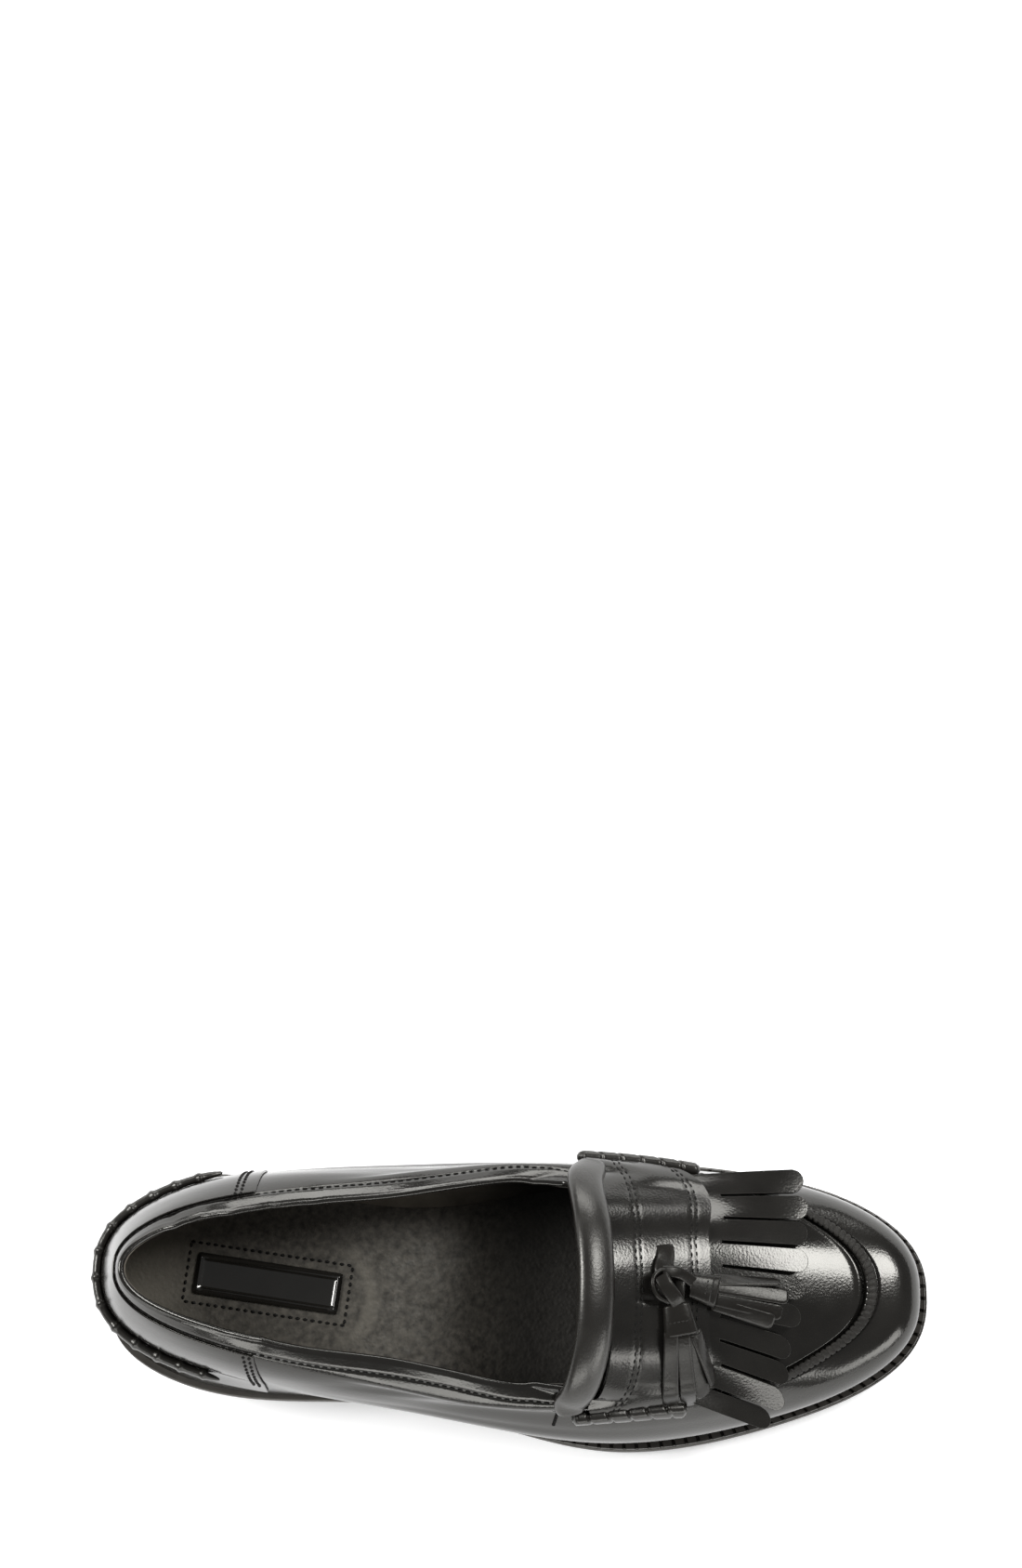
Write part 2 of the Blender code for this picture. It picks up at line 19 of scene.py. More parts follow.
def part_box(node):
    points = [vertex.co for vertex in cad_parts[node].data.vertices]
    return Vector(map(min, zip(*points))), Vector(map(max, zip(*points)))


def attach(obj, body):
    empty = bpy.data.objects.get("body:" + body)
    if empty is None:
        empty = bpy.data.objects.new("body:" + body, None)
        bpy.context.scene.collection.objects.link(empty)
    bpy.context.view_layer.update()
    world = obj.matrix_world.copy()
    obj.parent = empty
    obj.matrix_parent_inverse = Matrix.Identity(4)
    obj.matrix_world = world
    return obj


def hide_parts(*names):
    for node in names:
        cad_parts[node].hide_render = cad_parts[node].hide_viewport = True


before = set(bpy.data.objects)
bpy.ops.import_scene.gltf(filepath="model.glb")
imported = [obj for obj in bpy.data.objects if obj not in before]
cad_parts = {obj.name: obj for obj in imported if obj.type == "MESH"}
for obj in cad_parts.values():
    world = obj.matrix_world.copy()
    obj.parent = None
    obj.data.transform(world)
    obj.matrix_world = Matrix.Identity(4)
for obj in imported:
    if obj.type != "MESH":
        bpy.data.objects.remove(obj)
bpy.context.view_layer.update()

bl_info = {
    "name": "Tassel loafer",
    "version": (1, 0, 0),
    "blender": (4, 5, 0),
    "location": "3D View > Sidebar > Loafer",
    "description": "Builds the leather, sole and tassels of a loafer around its frame",
    "category": "Add Mesh",
}

MM = 0.001
BODY = "root"

# The sole, in millimetres
GAP = 0.3
OUTSOLE_THICKNESS = 5.5
WELT_THICKNESS = 3.0
INSOLE_THICKNESS = 2.5
HEEL_HEIGHT = 19.0
HEEL_PITCH = 2.5
HEEL_TAPER = 0.955
HEEL_INSET = 0.8
HEEL_CENTRE_X = -96.0
HEEL_BREAST_X = -60.0
HEEL_LIFT = 5.0
TREAD_BACK_X = 18.0
TREAD_FRONT_X = 62.0
TOE_SPRING = 8.5
WELT_RISE = 0.055
WELT_LATERAL_END = -1.86
WELT_MEDIAL_END = 1.55
UPPER_WALL = 2.0
INSOLE_EDGE_RISE = 0.035
INSOLE_INSET = 2.55

# Stations along a ring of the last, from its heel end (0) to its toe end (1)
WIDTH_STATIONS = (0.08, 0.36, 0.62, 0.86, 0.96)
HEIGHT_STATIONS = (0.0, 0.36, 0.68, 0.93, 1.0)
FLAT = (0, 0, 0, 0, 0)

# One row for each ring: where it starts and ends, how far its stations lean to the toe,
# how round its ends are, and its centre line, fullness and height at the stations.
Ring = namedtuple("Ring", "heel_x toe_x lean heel_round toe_round mids fulls heights")
SOLE_EDGE = Ring(
    heel_x=-126.5, toe_x=133.0, lean=0.0, heel_round=0.60, toe_round=0.80,
    mids=(5.5, -2.9, -1.9, 0.8, 1.0), fulls=(45.2, 31.2, 46.5, 48.3, 48.5), heights=FLAT,
)
RINGS = (
    Ring(
        heel_x=-125.0, toe_x=128.2, lean=0.0, heel_round=0.64, toe_round=0.80,
        mids=(5.6, -1.8, -1.8, 0.6, 1.2), fulls=(43.6, 30.3, 42.5, 44.0, 44.0), heights=FLAT,
    ),
    Ring(
        heel_x=-126.4, toe_x=130.0, lean=0.04, heel_round=0.80, toe_round=0.80,
        mids=(6.2, 2.3, -1.6, 0.9, 1.4), fulls=(40.6, 39.3, 44.7, 46.4, 46.3), heights=(44, 33, 18, 21, 24),
    ),
    Ring(
        heel_x=-125.5, toe_x=125.0, lean=0.08, heel_round=0.80, toe_round=0.82,
        mids=(6.1, 2.8, 0.0, 1.6, 2.0), fulls=(39.4, 38.4, 42.5, 44.0, 43.0), heights=(51, 40, 28, 29, 31),
    ),
    Ring(
        heel_x=-124.2, toe_x=112.4, lean=0.15, heel_round=0.82, toe_round=0.90,
        mids=(6.0, 3.3, 2.4, 2.2, 2.5), fulls=(37.5, 36.4, 39.9, 41.5, 39.0), heights=(57.5, 46, 37, 35, 35),
    ),
    Ring(
        heel_x=-122.8, toe_x=88.0, lean=0.30, heel_round=0.86, toe_round=0.80,
        mids=(5.8, 3.7, 2.4, 2.4, 2.6), fulls=(34.0, 33.5, 39.6, 42.5, 41.5), heights=(64, 51, 42, 40.5, 42),
    ),
    Ring(
        heel_x=-121.2, toe_x=58.0, lean=0.50, heel_round=0.90, toe_round=0.70,
        mids=(5.6, 4.1, 2.6, 2.2, 2.4), fulls=(29.0, 29.3, 37.6, 45.5, 47.5),
        heights=(70.5, 56, 47, 46.5, 52.5),
    ),
    Ring(
        heel_x=-119.5, toe_x=27.0, lean=0.70, heel_round=0.95, toe_round=0.85,
        mids=(5.4, 4.5, 4.0, 3.0, 1.8), fulls=(22.2, 23.4, 28.0, 44.5, 66.0), heights=(77, 61, 55, 51, 66),
    ),
)

# How far the collar is drawn in where it runs into the throat
COLLAR_TRIM = 2.6
COLLAR_TRIM_ANGLE = math.radians(71.5)
COLLAR_TRIM_WIDTH = math.radians(8.5)
COLLAR_TRIM_RISE = 0.74

# Rows of faces up the outer wall: closer together at the apron seam and at the collar
RowBand = namedtuple("RowBand", "rise_to rows")
WALL_ROWS = (RowBand(0.42, 28), RowBand(0.60, 74), RowBand(0.88, 26), RowBand(1.0, 26))
WALL_COLUMNS = 384
INNER_ROWS = 16
COLLAR_ROWS = 8

# The lining, just inside the wall
LINING_RISES = (0.01, 0.985)
LINING_ROWS = 39
LINING_GAP = 0.12
LINING_THICKNESS = 0.35
LINING_EDGE = 0.1

# How far the cut edges of the sewn sheets are rounded
SHEET_EDGE = 0.35

# Edges of the saddle band on the upper, lateral to medial: angle in degrees and rise
SADDLE_REAR = (
    (-82, 0.75), (-78, 0.855), (-63, 0.934), (-30, 0.973), (0, 0.979),
    (30, 0.973), (62, 0.938), (79.5, 0.83), (85.5, 0.64),
)
SADDLE_FRONT = (
    (-66, 0.62), (-57, 0.685), (-42, 0.755), (-21, 0.806), (0, 0.814),
    (21, 0.806), (42, 0.755), (57, 0.68), (66, 0.60),
)
SADDLE_STITCH_ROWS = (0.245, 0.297, 0.815, 0.868)
SADDLE_FACES = (180, 60)
SADDLE_REAR_LIFT = 1.35
SADDLE_FRONT_LIFT = 0.25
SADDLE_DIP = 0.06
SADDLE_DIP_WIDTH = 0.016

# A short pinch in the saddle by the tassels' knot: place, half size and depth
PINCH_PLACE = (0.47, 0.36)
PINCH_SIZE = (0.008, 0.1)
PINCH_DEPTH = 0.5

# Tips of the fringe tabs, lateral to medial. Twist lifts a tab's medial edge, and bow its middle.
TabTip = namedtuple("TabTip", "x y z width twist bow")
TABS = (
    TabTip(81.6, -38.6, 30.5, 6.8, 0.9, 0.8),
    TabTip(86.0, -32.6, 34.8, 7.2, 2.5, 0.8),
    TabTip(87.0, -25.2, 37.6, 7.2, 0.5, 0.5),
    TabTip(87.6, -17.2, 40.4, 7.4, 0.7, 0.3),
    TabTip(90.7, -7.4, 44.0, 7.5, 0.4, 0.3),
    TabTip(92.1, 1.2, 44.8, 7.6, 0.0, 0.3),
    TabTip(93.2, 9.8, 44.3, 7.6, -0.4, 0.3),
    TabTip(93.2, 18.4, 42.5, 7.6, -1.2, 0.3),
    TabTip(93.7, 27.0, 39.6, 7.7, -0.7, 0.5),
    TabTip(92.5, 35.6, 36.8, 7.7, -0.7, 0.8),
)
TAB_ACROSS = (0.0, 0.085, 0.19, 0.34, 0.5, 0.66, 0.81, 0.915, 1.0)
TAB_END_ROW = 0.034
TAB_ROOT = 0.22
TAB_SETBACK = 4.0
TAB_ROUND = 0.98
TAB_EDGE = 0.55
TAB_SLIT = 0.11
TAB_CELLS = len(TAB_ACROSS) - 1
TAB_ROWS = 22
BAND_ROWS = 8
FIRST_TAB = 0.65
TAB_CLEARANCE = 0.15
KILTIE_BACK = 0.45
SLIT_ROOT_ROWS = 2

# Paths on the upper: angle in degrees and rise
THROAT_PATH = (
    (-82.5, 0.83), (-80, 0.875), (-74, 0.935), (-58, 0.982), (-30, 0.994), (0, 0.997),
    (30, 0.994), (54, 0.978), (64.5, 0.935), (72, 0.875), (78, 0.805),
)
LATERAL_PATH = ((-86.2, 0.74), (-79.6, 0.68), (-73.3, 0.60), (-66.6, 0.515))
MEDIAL_PATH = ((85.5, 0.535), (74, 0.51), (64, 0.5))
HEEL_PATH = ((137, 0.16), (151, 0.165), (165, 0.17), (180, 0.17), (195, 0.17), (209, 0.165), (223, 0.16))
SEAM_PATH = ((-68, 0.5), (-45, 0.492), (-22, 0.488), (0, 0.486), (22, 0.488), (45, 0.492), (66, 0.5))

# Rolls: how far back they lie from their path and how high on the leather, section in
# millimetres, faces along and round, bluntness and slimness of the ends, how square the section
# is, and the pitch, slant, depth and breadth of their grooves (or, if negative, wraps)
Roll = namedtuple(
    "Roll",
    "path back lift half_width half_height faces blunt end_width square pitch slant depth breadth",
)
THROAT_ROLL = Roll(THROAT_PATH, 2.3, 0.1, 6.0, 3.2, (150, 32), 0.04, 0.66, 0.9, 21.0, 0.0, -0.02, 7.0)
LATERAL_ROLL = Roll(LATERAL_PATH, 0.0, 0.3, 3.0, 2.3, (220, 24), 0.05, 1.0, 0.85, 6.2, 1.5, 0.32, 0.5)
MEDIAL_ROLL = Roll(MEDIAL_PATH, 0.0, 0.0, 2.3, 2.1, (190, 24), 0.06, 1.0, 0.85, 6.4, 1.5, 0.3, 0.5)
HEEL_ROLL = Roll(HEEL_PATH, 0.0, 0.8, 2.0, 1.5, (300, 16), 0.05, 0.8, 0.9, 7.6, 0.3, -0.34, 0.9)
APRON_SEAM = Roll(SEAM_PATH, 0.0, -0.35, 1.7, 0.75, (640, 20), 0.02, 1.0, 0.6, 2.0, 0.3, 0.28, 0.3)
WHIPPED_ROLLS = (
    ("lateral_whipping", LATERAL_ROLL, "side_roll_lateral"),
    ("medial_whipping", MEDIAL_ROLL, "side_roll_medial"),
    ("heel_whipping", HEEL_ROLL, "heel_roll"),
)

# Relief pressed into the leather beside a line: place, height and half width. At the apron seam
# places are millimetres from the seam towards the apron, and it fades out at these angles.
Ridge = namedtuple("Ridge", "place height width")
APRON_LIP = Ridge(4.0, 0.35, 1.3)
SEAM_OUTLINE = Ridge(-2.2, 0.45, 0.45)
GROOVE_PLACE = 2.3
SEAM_FADES_LATERAL = (-68, -60)
SEAM_FADES_MEDIAL = (58, 66)

# The turned-over collar edge: where it starts behind the throat (degrees from the toe), how far
# it puffs up, and how its stitches dip into it
TOPLINE_STARTS = (80, 92)
TOPLINE_PUFF = 0.15
TOPLINE_PUFF_EDGE = 1.2
TOPLINE_PUFF_FALL = 1.6
TOPLINE_DIP = 0.22
TOPLINE_DIP_WIDTH = 0.4

# The counter: how far forward it reaches at its foot and its top, and where its foot lies
COUNTER_FOOT_X = -75.5
COUNTER_TOP_X = -78.5
COUNTER_FOOT_RISE = 0.071
COUNTER_TOP_RISE = 0.87
COUNTER_BELOW_TOPLINE = 0.5
COUNTER_LIFT = 0.05
COUNTER_FACES = (220, 60)

# Soft troughs and ridges pressed into the upper by lasting and handling. Reach and width are
# in millimetres along and across the crease, and a negative depth is a ridge.
Crease = namedtuple("Crease", "angle rise tilt reach width depth")
CREASES = (
    Crease(157, 0.96, 80, 5.0, 2.2, 0.55),
    Crease(151, 0.97, 75, 4.5, 1.6, -0.35),
    Crease(145, 0.96, 70, 5.5, 2.4, 0.50),
    Crease(139, 0.97, 70, 4.0, 1.8, -0.30),
    Crease(131, 0.96, 65, 6.0, 2.6, 0.35),
    Crease(-140, 0.975, -70, 4.5, 2.0, 0.50),
    Crease(-146, 0.97, -70, 4.0, 2.0, -0.25),
    Crease(-118, 0.60, 20, 22.0, 6.0, 0.30),
    Crease(-104, 0.45, 25, 26.0, 7.0, 0.25),
    Crease(112, 0.62, -20, 24.0, 6.0, 0.30),
    Crease(100, 0.45, -25, 22.0, 7.0, 0.25),
    Crease(-52, 0.33, 12, 20.0, 5.0, 0.25),
    Crease(50, 0.33, -12, 20.0, 5.0, 0.25),
)

# The tassel's thongs: spots seen from above, with the height over the leather below them
Thong = namedtuple("Thong", "width thickness tilt spots")
THONGS = (
    Thong(5.6, 2.0, 0, ((48.1, 14.0, 0.2), (48.4, 10.4, 1.3), (47.5, 6.2, 2.4), (48.1, 2.8, 2.8))),
    Thong(4.2, 1.4, 80, (
        (49.2, 5.3, 3.4), (46.6, 5.3, 3.8), (44.7, 3.4, 4.0),
        (44.6, 0.4, 4.0), (46.0, -2.2, 3.8), (49.0, -3.8, 3.2),
    )),
    Thong(4.6, 1.5, 0, ((46.5, 4.2, 5.4), (48.4, 0.8, 6.4), (51.0, -2.7, 5.8), (52.7, -5.2, 4.0))),
    Thong(3.6, 1.6, 0, ((47.0, 5.3, 4.6), (50.4, 5.3, 5.4), (53.6, 4.5, 5.0), (57.4, 2.0, 4.0))),
    Thong(3.2, 1.6, 0, ((53.0, 4.2, 3.4), (52.6, 0.0, 3.8), (52.2, -5.0, 3.2))),
)
TasselHead = namedtuple("TasselHead", "name x_from y_from x_to y_to half_width half_height node")
TASSEL_HEADS = (
    TasselHead("tassel_front_wrap", 55.9, 1.6, 64.9, -0.4, 5.2, 2.7, "tassel_front_cap"),
    TasselHead("tassel_side_wrap", 51.4, -4.3, 53.3, -14.4, 5.5, 2.8, "tassel_side_cap"),
)

# The tassels' strips: root and tip seen from above, how high the tip lies, and the edge's turn
Strip = namedtuple("Strip", "root_x root_y tip_x tip_y height turn")
FRONT_STRIPS = (
    Strip(63.6, 3.4, 84.5, 3.2, 0.9, 62),
    Strip(63.8, 1.4, 87.1, -1.4, 1.5, 10),
    Strip(63.6, -2.4, 85.1, -6.3, 0.9, -6),
    Strip(63.2, -3.8, 82.5, -9.2, 0.5, -24),
)
SIDE_STRIPS = (
    Strip(49.9, -13.2, 50.2, -35.6, 0.8, 8),
    Strip(53.4, -13.4, 56.0, -34.2, 1.4, 0),
    Strip(55.8, -13.2, 60.6, -31.9, 0.8, 22),
    Strip(57.4, -12.8, 63.5, -27.5, 0.7, 58),
)
STRIP_WIDTH = 5.4
STRIP_THICKNESS = 1.3
STRIP_SPOTS = 7
STRIP_ROOT_LIFT = 2.4
STRIP_ROOT_FALL = 1.5
STRIP_TURN_STARTS = 0.25
STRIP_ROOT_WIDTH = 0.82
STRIP_TIP_BLUNT = 0.09

# Faces along and round the straps and heads, how square they are and how blunt their ends
STRAP_FACES = (40, 16)
STRAP_SQUARE = 0.55
STRAP_BLUNT = 0.03
THONG_END_WIDTH = 0.85
THONG_BLUNT = 0.12
HEAD_FACES = (32, 36)
HEAD_SQUARE = (0.7, 0.75)
HEAD_BLUNT = 0.06
HEAD_REAR_WIDTH = 0.74
HEAD_LIFT = 0.3
UP = (0.0, 0.0, 1.0)

# The bare label patch sewn on the insole
PATCH_CENTRE = (-76.3, 4.55)
PATCH_TURN = math.radians(-8.5)
PATCH_SIZE = (51.5, 19.0)
PLAQUE_SIZE = (45.7, 12.6)

# Sampling, and limits for welding, shading and looking down on the pieces
SAMPLES = 400
OUTLINE_SAMPLES = 81
COLLAR_SEARCH = (1.0, 0.5, 101)
RIM_SAMPLES = 2400
KINK_PASSES = 60
SLOPE_STEP = 1e-3
WELD = 1e-6
SHARP_ANGLE = math.radians(50)
PROBE_HEIGHT = 200.0


# Numbers and curves

def smooth_curve(stations, values, at, level_ends):
    """A smooth curve through the values; its ends run level or straight on."""
    stations = np.asarray(stations, float)
    values = np.asarray(values, float)
    slopes = np.zeros(len(values))
    slopes[1:-1] = (values[2:] - values[:-2]) / (stations[2:] - stations[:-2])
    if not level_ends:
        slopes[0] = (values[1] - values[0]) / (stations[1] - stations[0])
        slopes[-1] = (values[-1] - values[-2]) / (stations[-1] - stations[-2])
    at = np.clip(np.asarray(at, float), stations[0], stations[-1])
    left = np.clip(np.searchsorted(stations, at, side="right") - 1, 0, len(values) - 2)
    span = stations[left + 1] - stations[left]
    t = (at - stations[left]) / span
    rise = 3 * t**2 - 2 * t**3
    return (
        values[left] * (1 - rise)
        + values[left + 1] * rise
        + span * slopes[left] * (t - 2 * t**2 + t**3)
        + span * slopes[left + 1] * (t**3 - t**2)
    )


def bell(distance, width):
    """A soft bump, 1 at distance 0 and nearly 0 beyond two widths."""
    return np.exp(-(distance / width) ** 2)


def ramp(value, start, end):
    """A soft step from 0 at start to 1 at end."""
    t = np.clip((value - start) / (end - start), 0, 1)
    return 3 * t**2 - 2 * t**3


def to_nearest(way, pitch):
    """Distance to the nearest whole number of pitches."""
    return (way / pitch - np.rint(way / pitch)) * pitch


def unit(vectors):
    return vectors / np.linalg.norm(vectors, axis=-1, keepdims=True)


def distances(points, axis=0):
    """Distance travelled along a row of points, from its first one."""
    steps = np.linalg.norm(np.diff(points, axis=axis), axis=-1)
    start = np.zeros_like(np.take(steps, [0], axis=axis))
    return np.concatenate([start, np.cumsum(steps, axis=axis)], axis=axis)


def rounded_ends(u, blunt):
    """Width factor along a length: full in the middle, closed at both ends."""
    from_end = np.minimum(u, 1 - u) / blunt
    return np.sqrt(np.clip(1 - (1 - np.clip(from_end, 0, 1)) ** 2, 0, 1))


def eased(rows, passes):
    """The same rows of points with their kinks eased out; the first and last one stay."""
    rows = rows.copy()
    for _ in range(passes):
        rows[1:-1] = (rows[:-2] + 2 * rows[1:-1] + rows[2:]) / 4
    return rows


def squared(wave, power):
    """A sine or cosine made squarer (power under 1)."""
    return np.sign(wave) * np.abs(wave) ** power


# The last

def sole_line(x):
    """Height of the outsole's underside: heel seat, arch, flat tread and toe spring."""
    x = np.asarray(x, float)
    seat = HEEL_HEIGHT - HEEL_PITCH * (x - SOLE_EDGE.heel_x) / (HEEL_BREAST_X - SOLE_EDGE.heel_x)
    down = np.clip((x - HEEL_BREAST_X) / (TREAD_BACK_X - HEEL_BREAST_X), 0, 1)
    arch = (HEEL_HEIGHT - HEEL_PITCH) * (1 - (3 * down**2 - 2 * down**3))
    up = np.clip((x - TREAD_FRONT_X) / (SOLE_EDGE.toe_x - TREAD_FRONT_X), 0, None)
    return np.where(x < HEEL_BREAST_X, seat, arch) + TOE_SPRING * up**2


def sole_top(x):
    return sole_line(x) + OUTSOLE_THICKNESS


def ring_points(ring, angles):
    """Points of a ring. Angle 0 is the toe, pi the heel, and positive angles are medial."""
    angles = np.asarray(angles, float)
    turned = angles - ring.lean * np.sin(angles)
    along = (1 + np.cos(turned)) / 2
    x = ring.heel_x + (ring.toe_x - ring.heel_x) * along
    ease = 3 * along**2 - 2 * along**3
    roundness = ring.heel_round * (1 - ease) + ring.toe_round * ease
    mid = smooth_curve(WIDTH_STATIONS, ring.mids, along, True)
    full = smooth_curve(WIDTH_STATIONS, ring.fulls, along, True)
    y = mid + full * squared(np.sin(turned), roundness)
    z = smooth_curve(HEIGHT_STATIONS, ring.heights, along, False)
    if ring is RINGS[0]:
        z = sole_top(x) + GAP
    return np.stack([x, y, z], axis=-1)


def upper_points(angles, rises):
    """Outer surface of the upper. Rise 0 is the feather line and 1 the collar edge."""
    angles, rises = np.broadcast_arrays(np.asarray(angles, float), np.asarray(rises, float))
    rings = np.stack([ring_points(ring, angles) for ring in RINGS])
    slopes = np.gradient(rings, axis=0)
    level = np.clip(rises, 0, 1) * (len(RINGS) - 1)
    low = np.minimum(level.astype(int), len(RINGS) - 2)
    t = (level - low)[..., None]

    def at(table, index):
        return np.take_along_axis(table, index[None, ..., None], axis=0)[0]

    ease = 3 * t**2 - 2 * t**3
    points = (
        at(rings, low) * (1 - ease)
        + at(rings, low + 1) * ease
        + at(slopes, low) * (t - 2 * t**2 + t**3)
        + at(slopes, low + 1) * (t**3 - t**2)
    )
    from_toe = np.abs((angles + math.pi) % (2 * math.pi) - math.pi)
    near_throat = bell(from_toe - COLLAR_TRIM_ANGLE, COLLAR_TRIM_WIDTH)
    trim = COLLAR_TRIM * near_throat * ramp(rises, COLLAR_TRIM_RISE, 1.0)
    points[..., 1] -= np.sign(np.sin(angles)) * trim
    return points


def upper_normals(angles, rises):
    """Unit normals of the upper's outer surface, pointing away from the foot."""
    around = upper_points(angles + SLOPE_STEP, rises) - upper_points(angles - SLOPE_STEP, rises)
    above = upper_points(angles, np.minimum(rises + SLOPE_STEP, 1))
    below = upper_points(angles, np.maximum(rises - SLOPE_STEP, 0))
    return unit(np.cross(around, above - below))


def wall_normals(angles, rises):
    """Normals of the upper with the kinks beside the throat eased out; angles run down the columns."""
    return unit(eased(upper_normals(angles[:, None], rises[None, :]), KINK_PASSES))


def lifted(angles, rises, lift):
    """Points at a distance lift outside the upper."""
    lift = np.asarray(lift, float)
    return upper_points(angles, rises) + upper_normals(angles, rises) * lift[..., None]


def path_through(rows, u):
    """Angles (radians) and rises along a path given as rows of angle in degrees and rise."""
    rows = np.asarray(rows, float)
    stations = np.linspace(0, 1, len(rows))
    angles = smooth_curve(stations, rows[:, 0], u, False)
    rises = smooth_curve(stations, rows[:, 1], u, False)
    return np.radians(angles), rises


def from_collar(points):
    """Distance of each point of a grid to the nearest spot of the collar edge."""
    rim = upper_points(np.linspace(-math.pi, math.pi, RIM_SAMPLES), 1.0)
    tree = KDTree(RIM_SAMPLES)
    for index, spot in enumerate(rim):
        tree.insert(Vector(spot), index)
    tree.balance()
    away = [tree.find(Vector(spot))[2] for spot in points.reshape(-1, 3)]
    return np.array(away).reshape(points.shape[:-1])


def below_collar(angles, distance):
    """Rises at which the upper lies a distance below its collar edge."""
    rises = np.linspace(*COLLAR_SEARCH)
    gone = from_collar(upper_points(angles[:, None], rises[None, :]))
    return np.array([np.interp(distance, np.maximum.accumulate(row), rises) for row in gone])


def angle_at(x, rise):
    """The angle, between the waist and the heel, at which the upper reaches x at this rise."""
    angles = np.linspace(math.pi, math.pi / 2, SAMPLES)
    return np.interp(x, upper_points(angles, rise)[:, 0], angles)


def drawn_in(ring, inset):
    """The same ring, smaller all round by inset."""
    fulls = tuple(full - inset for full in ring.fulls)
    return ring._replace(heel_x=ring.heel_x + inset, toe_x=ring.toe_x - inset, fulls=fulls)


def on_saddle(u, v, lift):
    """Points over the saddle band: u from lateral to medial, v from its rear to its front edge."""
    rear_angle, rear_rise = path_through(SADDLE_REAR, u)
    front_angle, front_rise = path_through(SADDLE_FRONT, u)
    angles = rear_angle + (front_angle - rear_angle) * v
    rises = rear_rise + (front_rise - rear_rise) * v
    return lifted(angles, rises, lift)


def frame_shift():
    """What moves these shapes into the frame: the outsole's box, there and here."""
    outline = ring_points(SOLE_EDGE, np.linspace(-math.pi, math.pi, OUTLINE_SAMPLES))
    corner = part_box("outsole")[0]
    return np.array((corner.x - outline[:, 0].min() * MM, corner.y - outline[:, 1].min() * MM, 0.0))


SHIFT = frame_shift()


def to_frame(spots):
    """Design millimetres to the frame's metres."""
    return np.asarray(spots, float) * MM + SHIFT


# Meshes

def skinned(points, closed=False, drop=None):
    """A grid of faces moved to points[column, row]. A closed one is turned outwards, and drop
    takes arrays of columns and rows and says which faces are cut away."""
    columns = points.shape[0] - 1
    rows = points.shape[1] - 1
    made = bmesh.new()
    bmesh.ops.create_grid(made, x_segments=columns, y_segments=rows, size=0.5)
    if drop:
        centres = np.array([face.calc_center_median() for face in made.faces]) + 0.5
        cut = drop((centres[:, 0] * columns).astype(int), (centres[:, 1] * rows).astype(int))
        gone = [face for face, is_cut in zip(made.faces, cut) if is_cut]
        bmesh.ops.delete(made, geom=gone, context="FACES")
    spots = to_frame(points)
    for vertex in made.verts:
        column = round((vertex.co.x + 0.5) * columns)
        row = round((vertex.co.y + 0.5) * rows)
        vertex.co = spots[column, row]
    bmesh.ops.remove_doubles(made, verts=made.verts, dist=WELD)
    if closed:
        bmesh.ops.recalc_face_normals(made, faces=made.faces)
    return made


def add_piece(name, made, finish, nodes=()):
    """Puts a finished bmesh into the scene as a piece that rides on the shoe."""
    mesh = bpy.data.meshes.new(name)
    made.to_mesh(mesh)
    made.free()
    mesh.materials.append(finish)
    mesh.shade_smooth()
    mesh.set_sharp_from_angle(angle=SHARP_ANGLE)
    piece = bpy.data.objects.new(name, mesh)
    bpy.context.scene.collection.objects.link(piece)
    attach(piece, BODY)
    if nodes:
        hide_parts(*nodes)
    return piece


def thickened(piece, thickness, edge, offset=1, edge_finish=None):
    """Gives a sheet its thickness, and rounds its cut edges, which can have a finish of their own."""
    wall = piece.modifiers.new("wall", "SOLIDIFY")
    wall.thickness = thickness
    wall.offset = offset
    rounded = piece.modifiers.new("rounded edge", "BEVEL")
    rounded.width = edge * MM
    rounded.segments = 3
    rounded.limit_method = "ANGLE"
    rounded.angle_limit = SHARP_ANGLE
    rounded.harden_normals = True
    if edge_finish:
        piece.data.materials.append(edge_finish)
        rounded.material = len(piece.data.materials) - 1
    return piece


def joined(made, other):
    """Adds the faces of another bmesh to this one."""
    spare = bpy.data.meshes.new("spare")
    other.to_mesh(spare)
    other.free()
    made.from_mesh(spare)
    bpy.data.meshes.remove(spare)


def rolled(roll):
    """A closed roll lying on the upper along a path, with grooves or wraps across it."""
    stations = np.linspace(0, 1, SAMPLES)
    gone = distances(upper_points(*path_through(roll.path, stations)))
    way = np.linspace(0, gone[-1], roll.faces[0] + 1)
    u = np.interp(way, gone, stations)
    angles, rises = path_through(roll.path, u)
    slim = 1 - (1 - roll.end_width) * (2 * u - 1) ** 2
    centre = eased(lifted(angles, rises, roll.lift + roll.half_height * slim), KINK_PASSES)
    run = unit(np.gradient(centre, axis=0))
    side = unit(np.cross(eased(upper_normals(angles, rises), KINK_PASSES), run))
    out = np.cross(run, side)
    centre = centre + roll.back * side
    turn = np.linspace(0, 2 * math.pi, roll.faces[1] + 1)
    size = (slim * rounded_ends(u, roll.blunt))[:, None]
    slanted = way[:, None] + roll.slant * np.cos(turn)
    size = size * (1 - roll.depth * bell(to_nearest(slanted, roll.pitch), roll.breadth))
    across = roll.half_width * size * squared(np.cos(turn), roll.square)
    above = roll.half_height * size * squared(np.sin(turn), roll.square)
    points = centre[:, None] + side[:, None] * across[..., None] + out[:, None] * above[..., None]
    return skinned(points, closed=True)


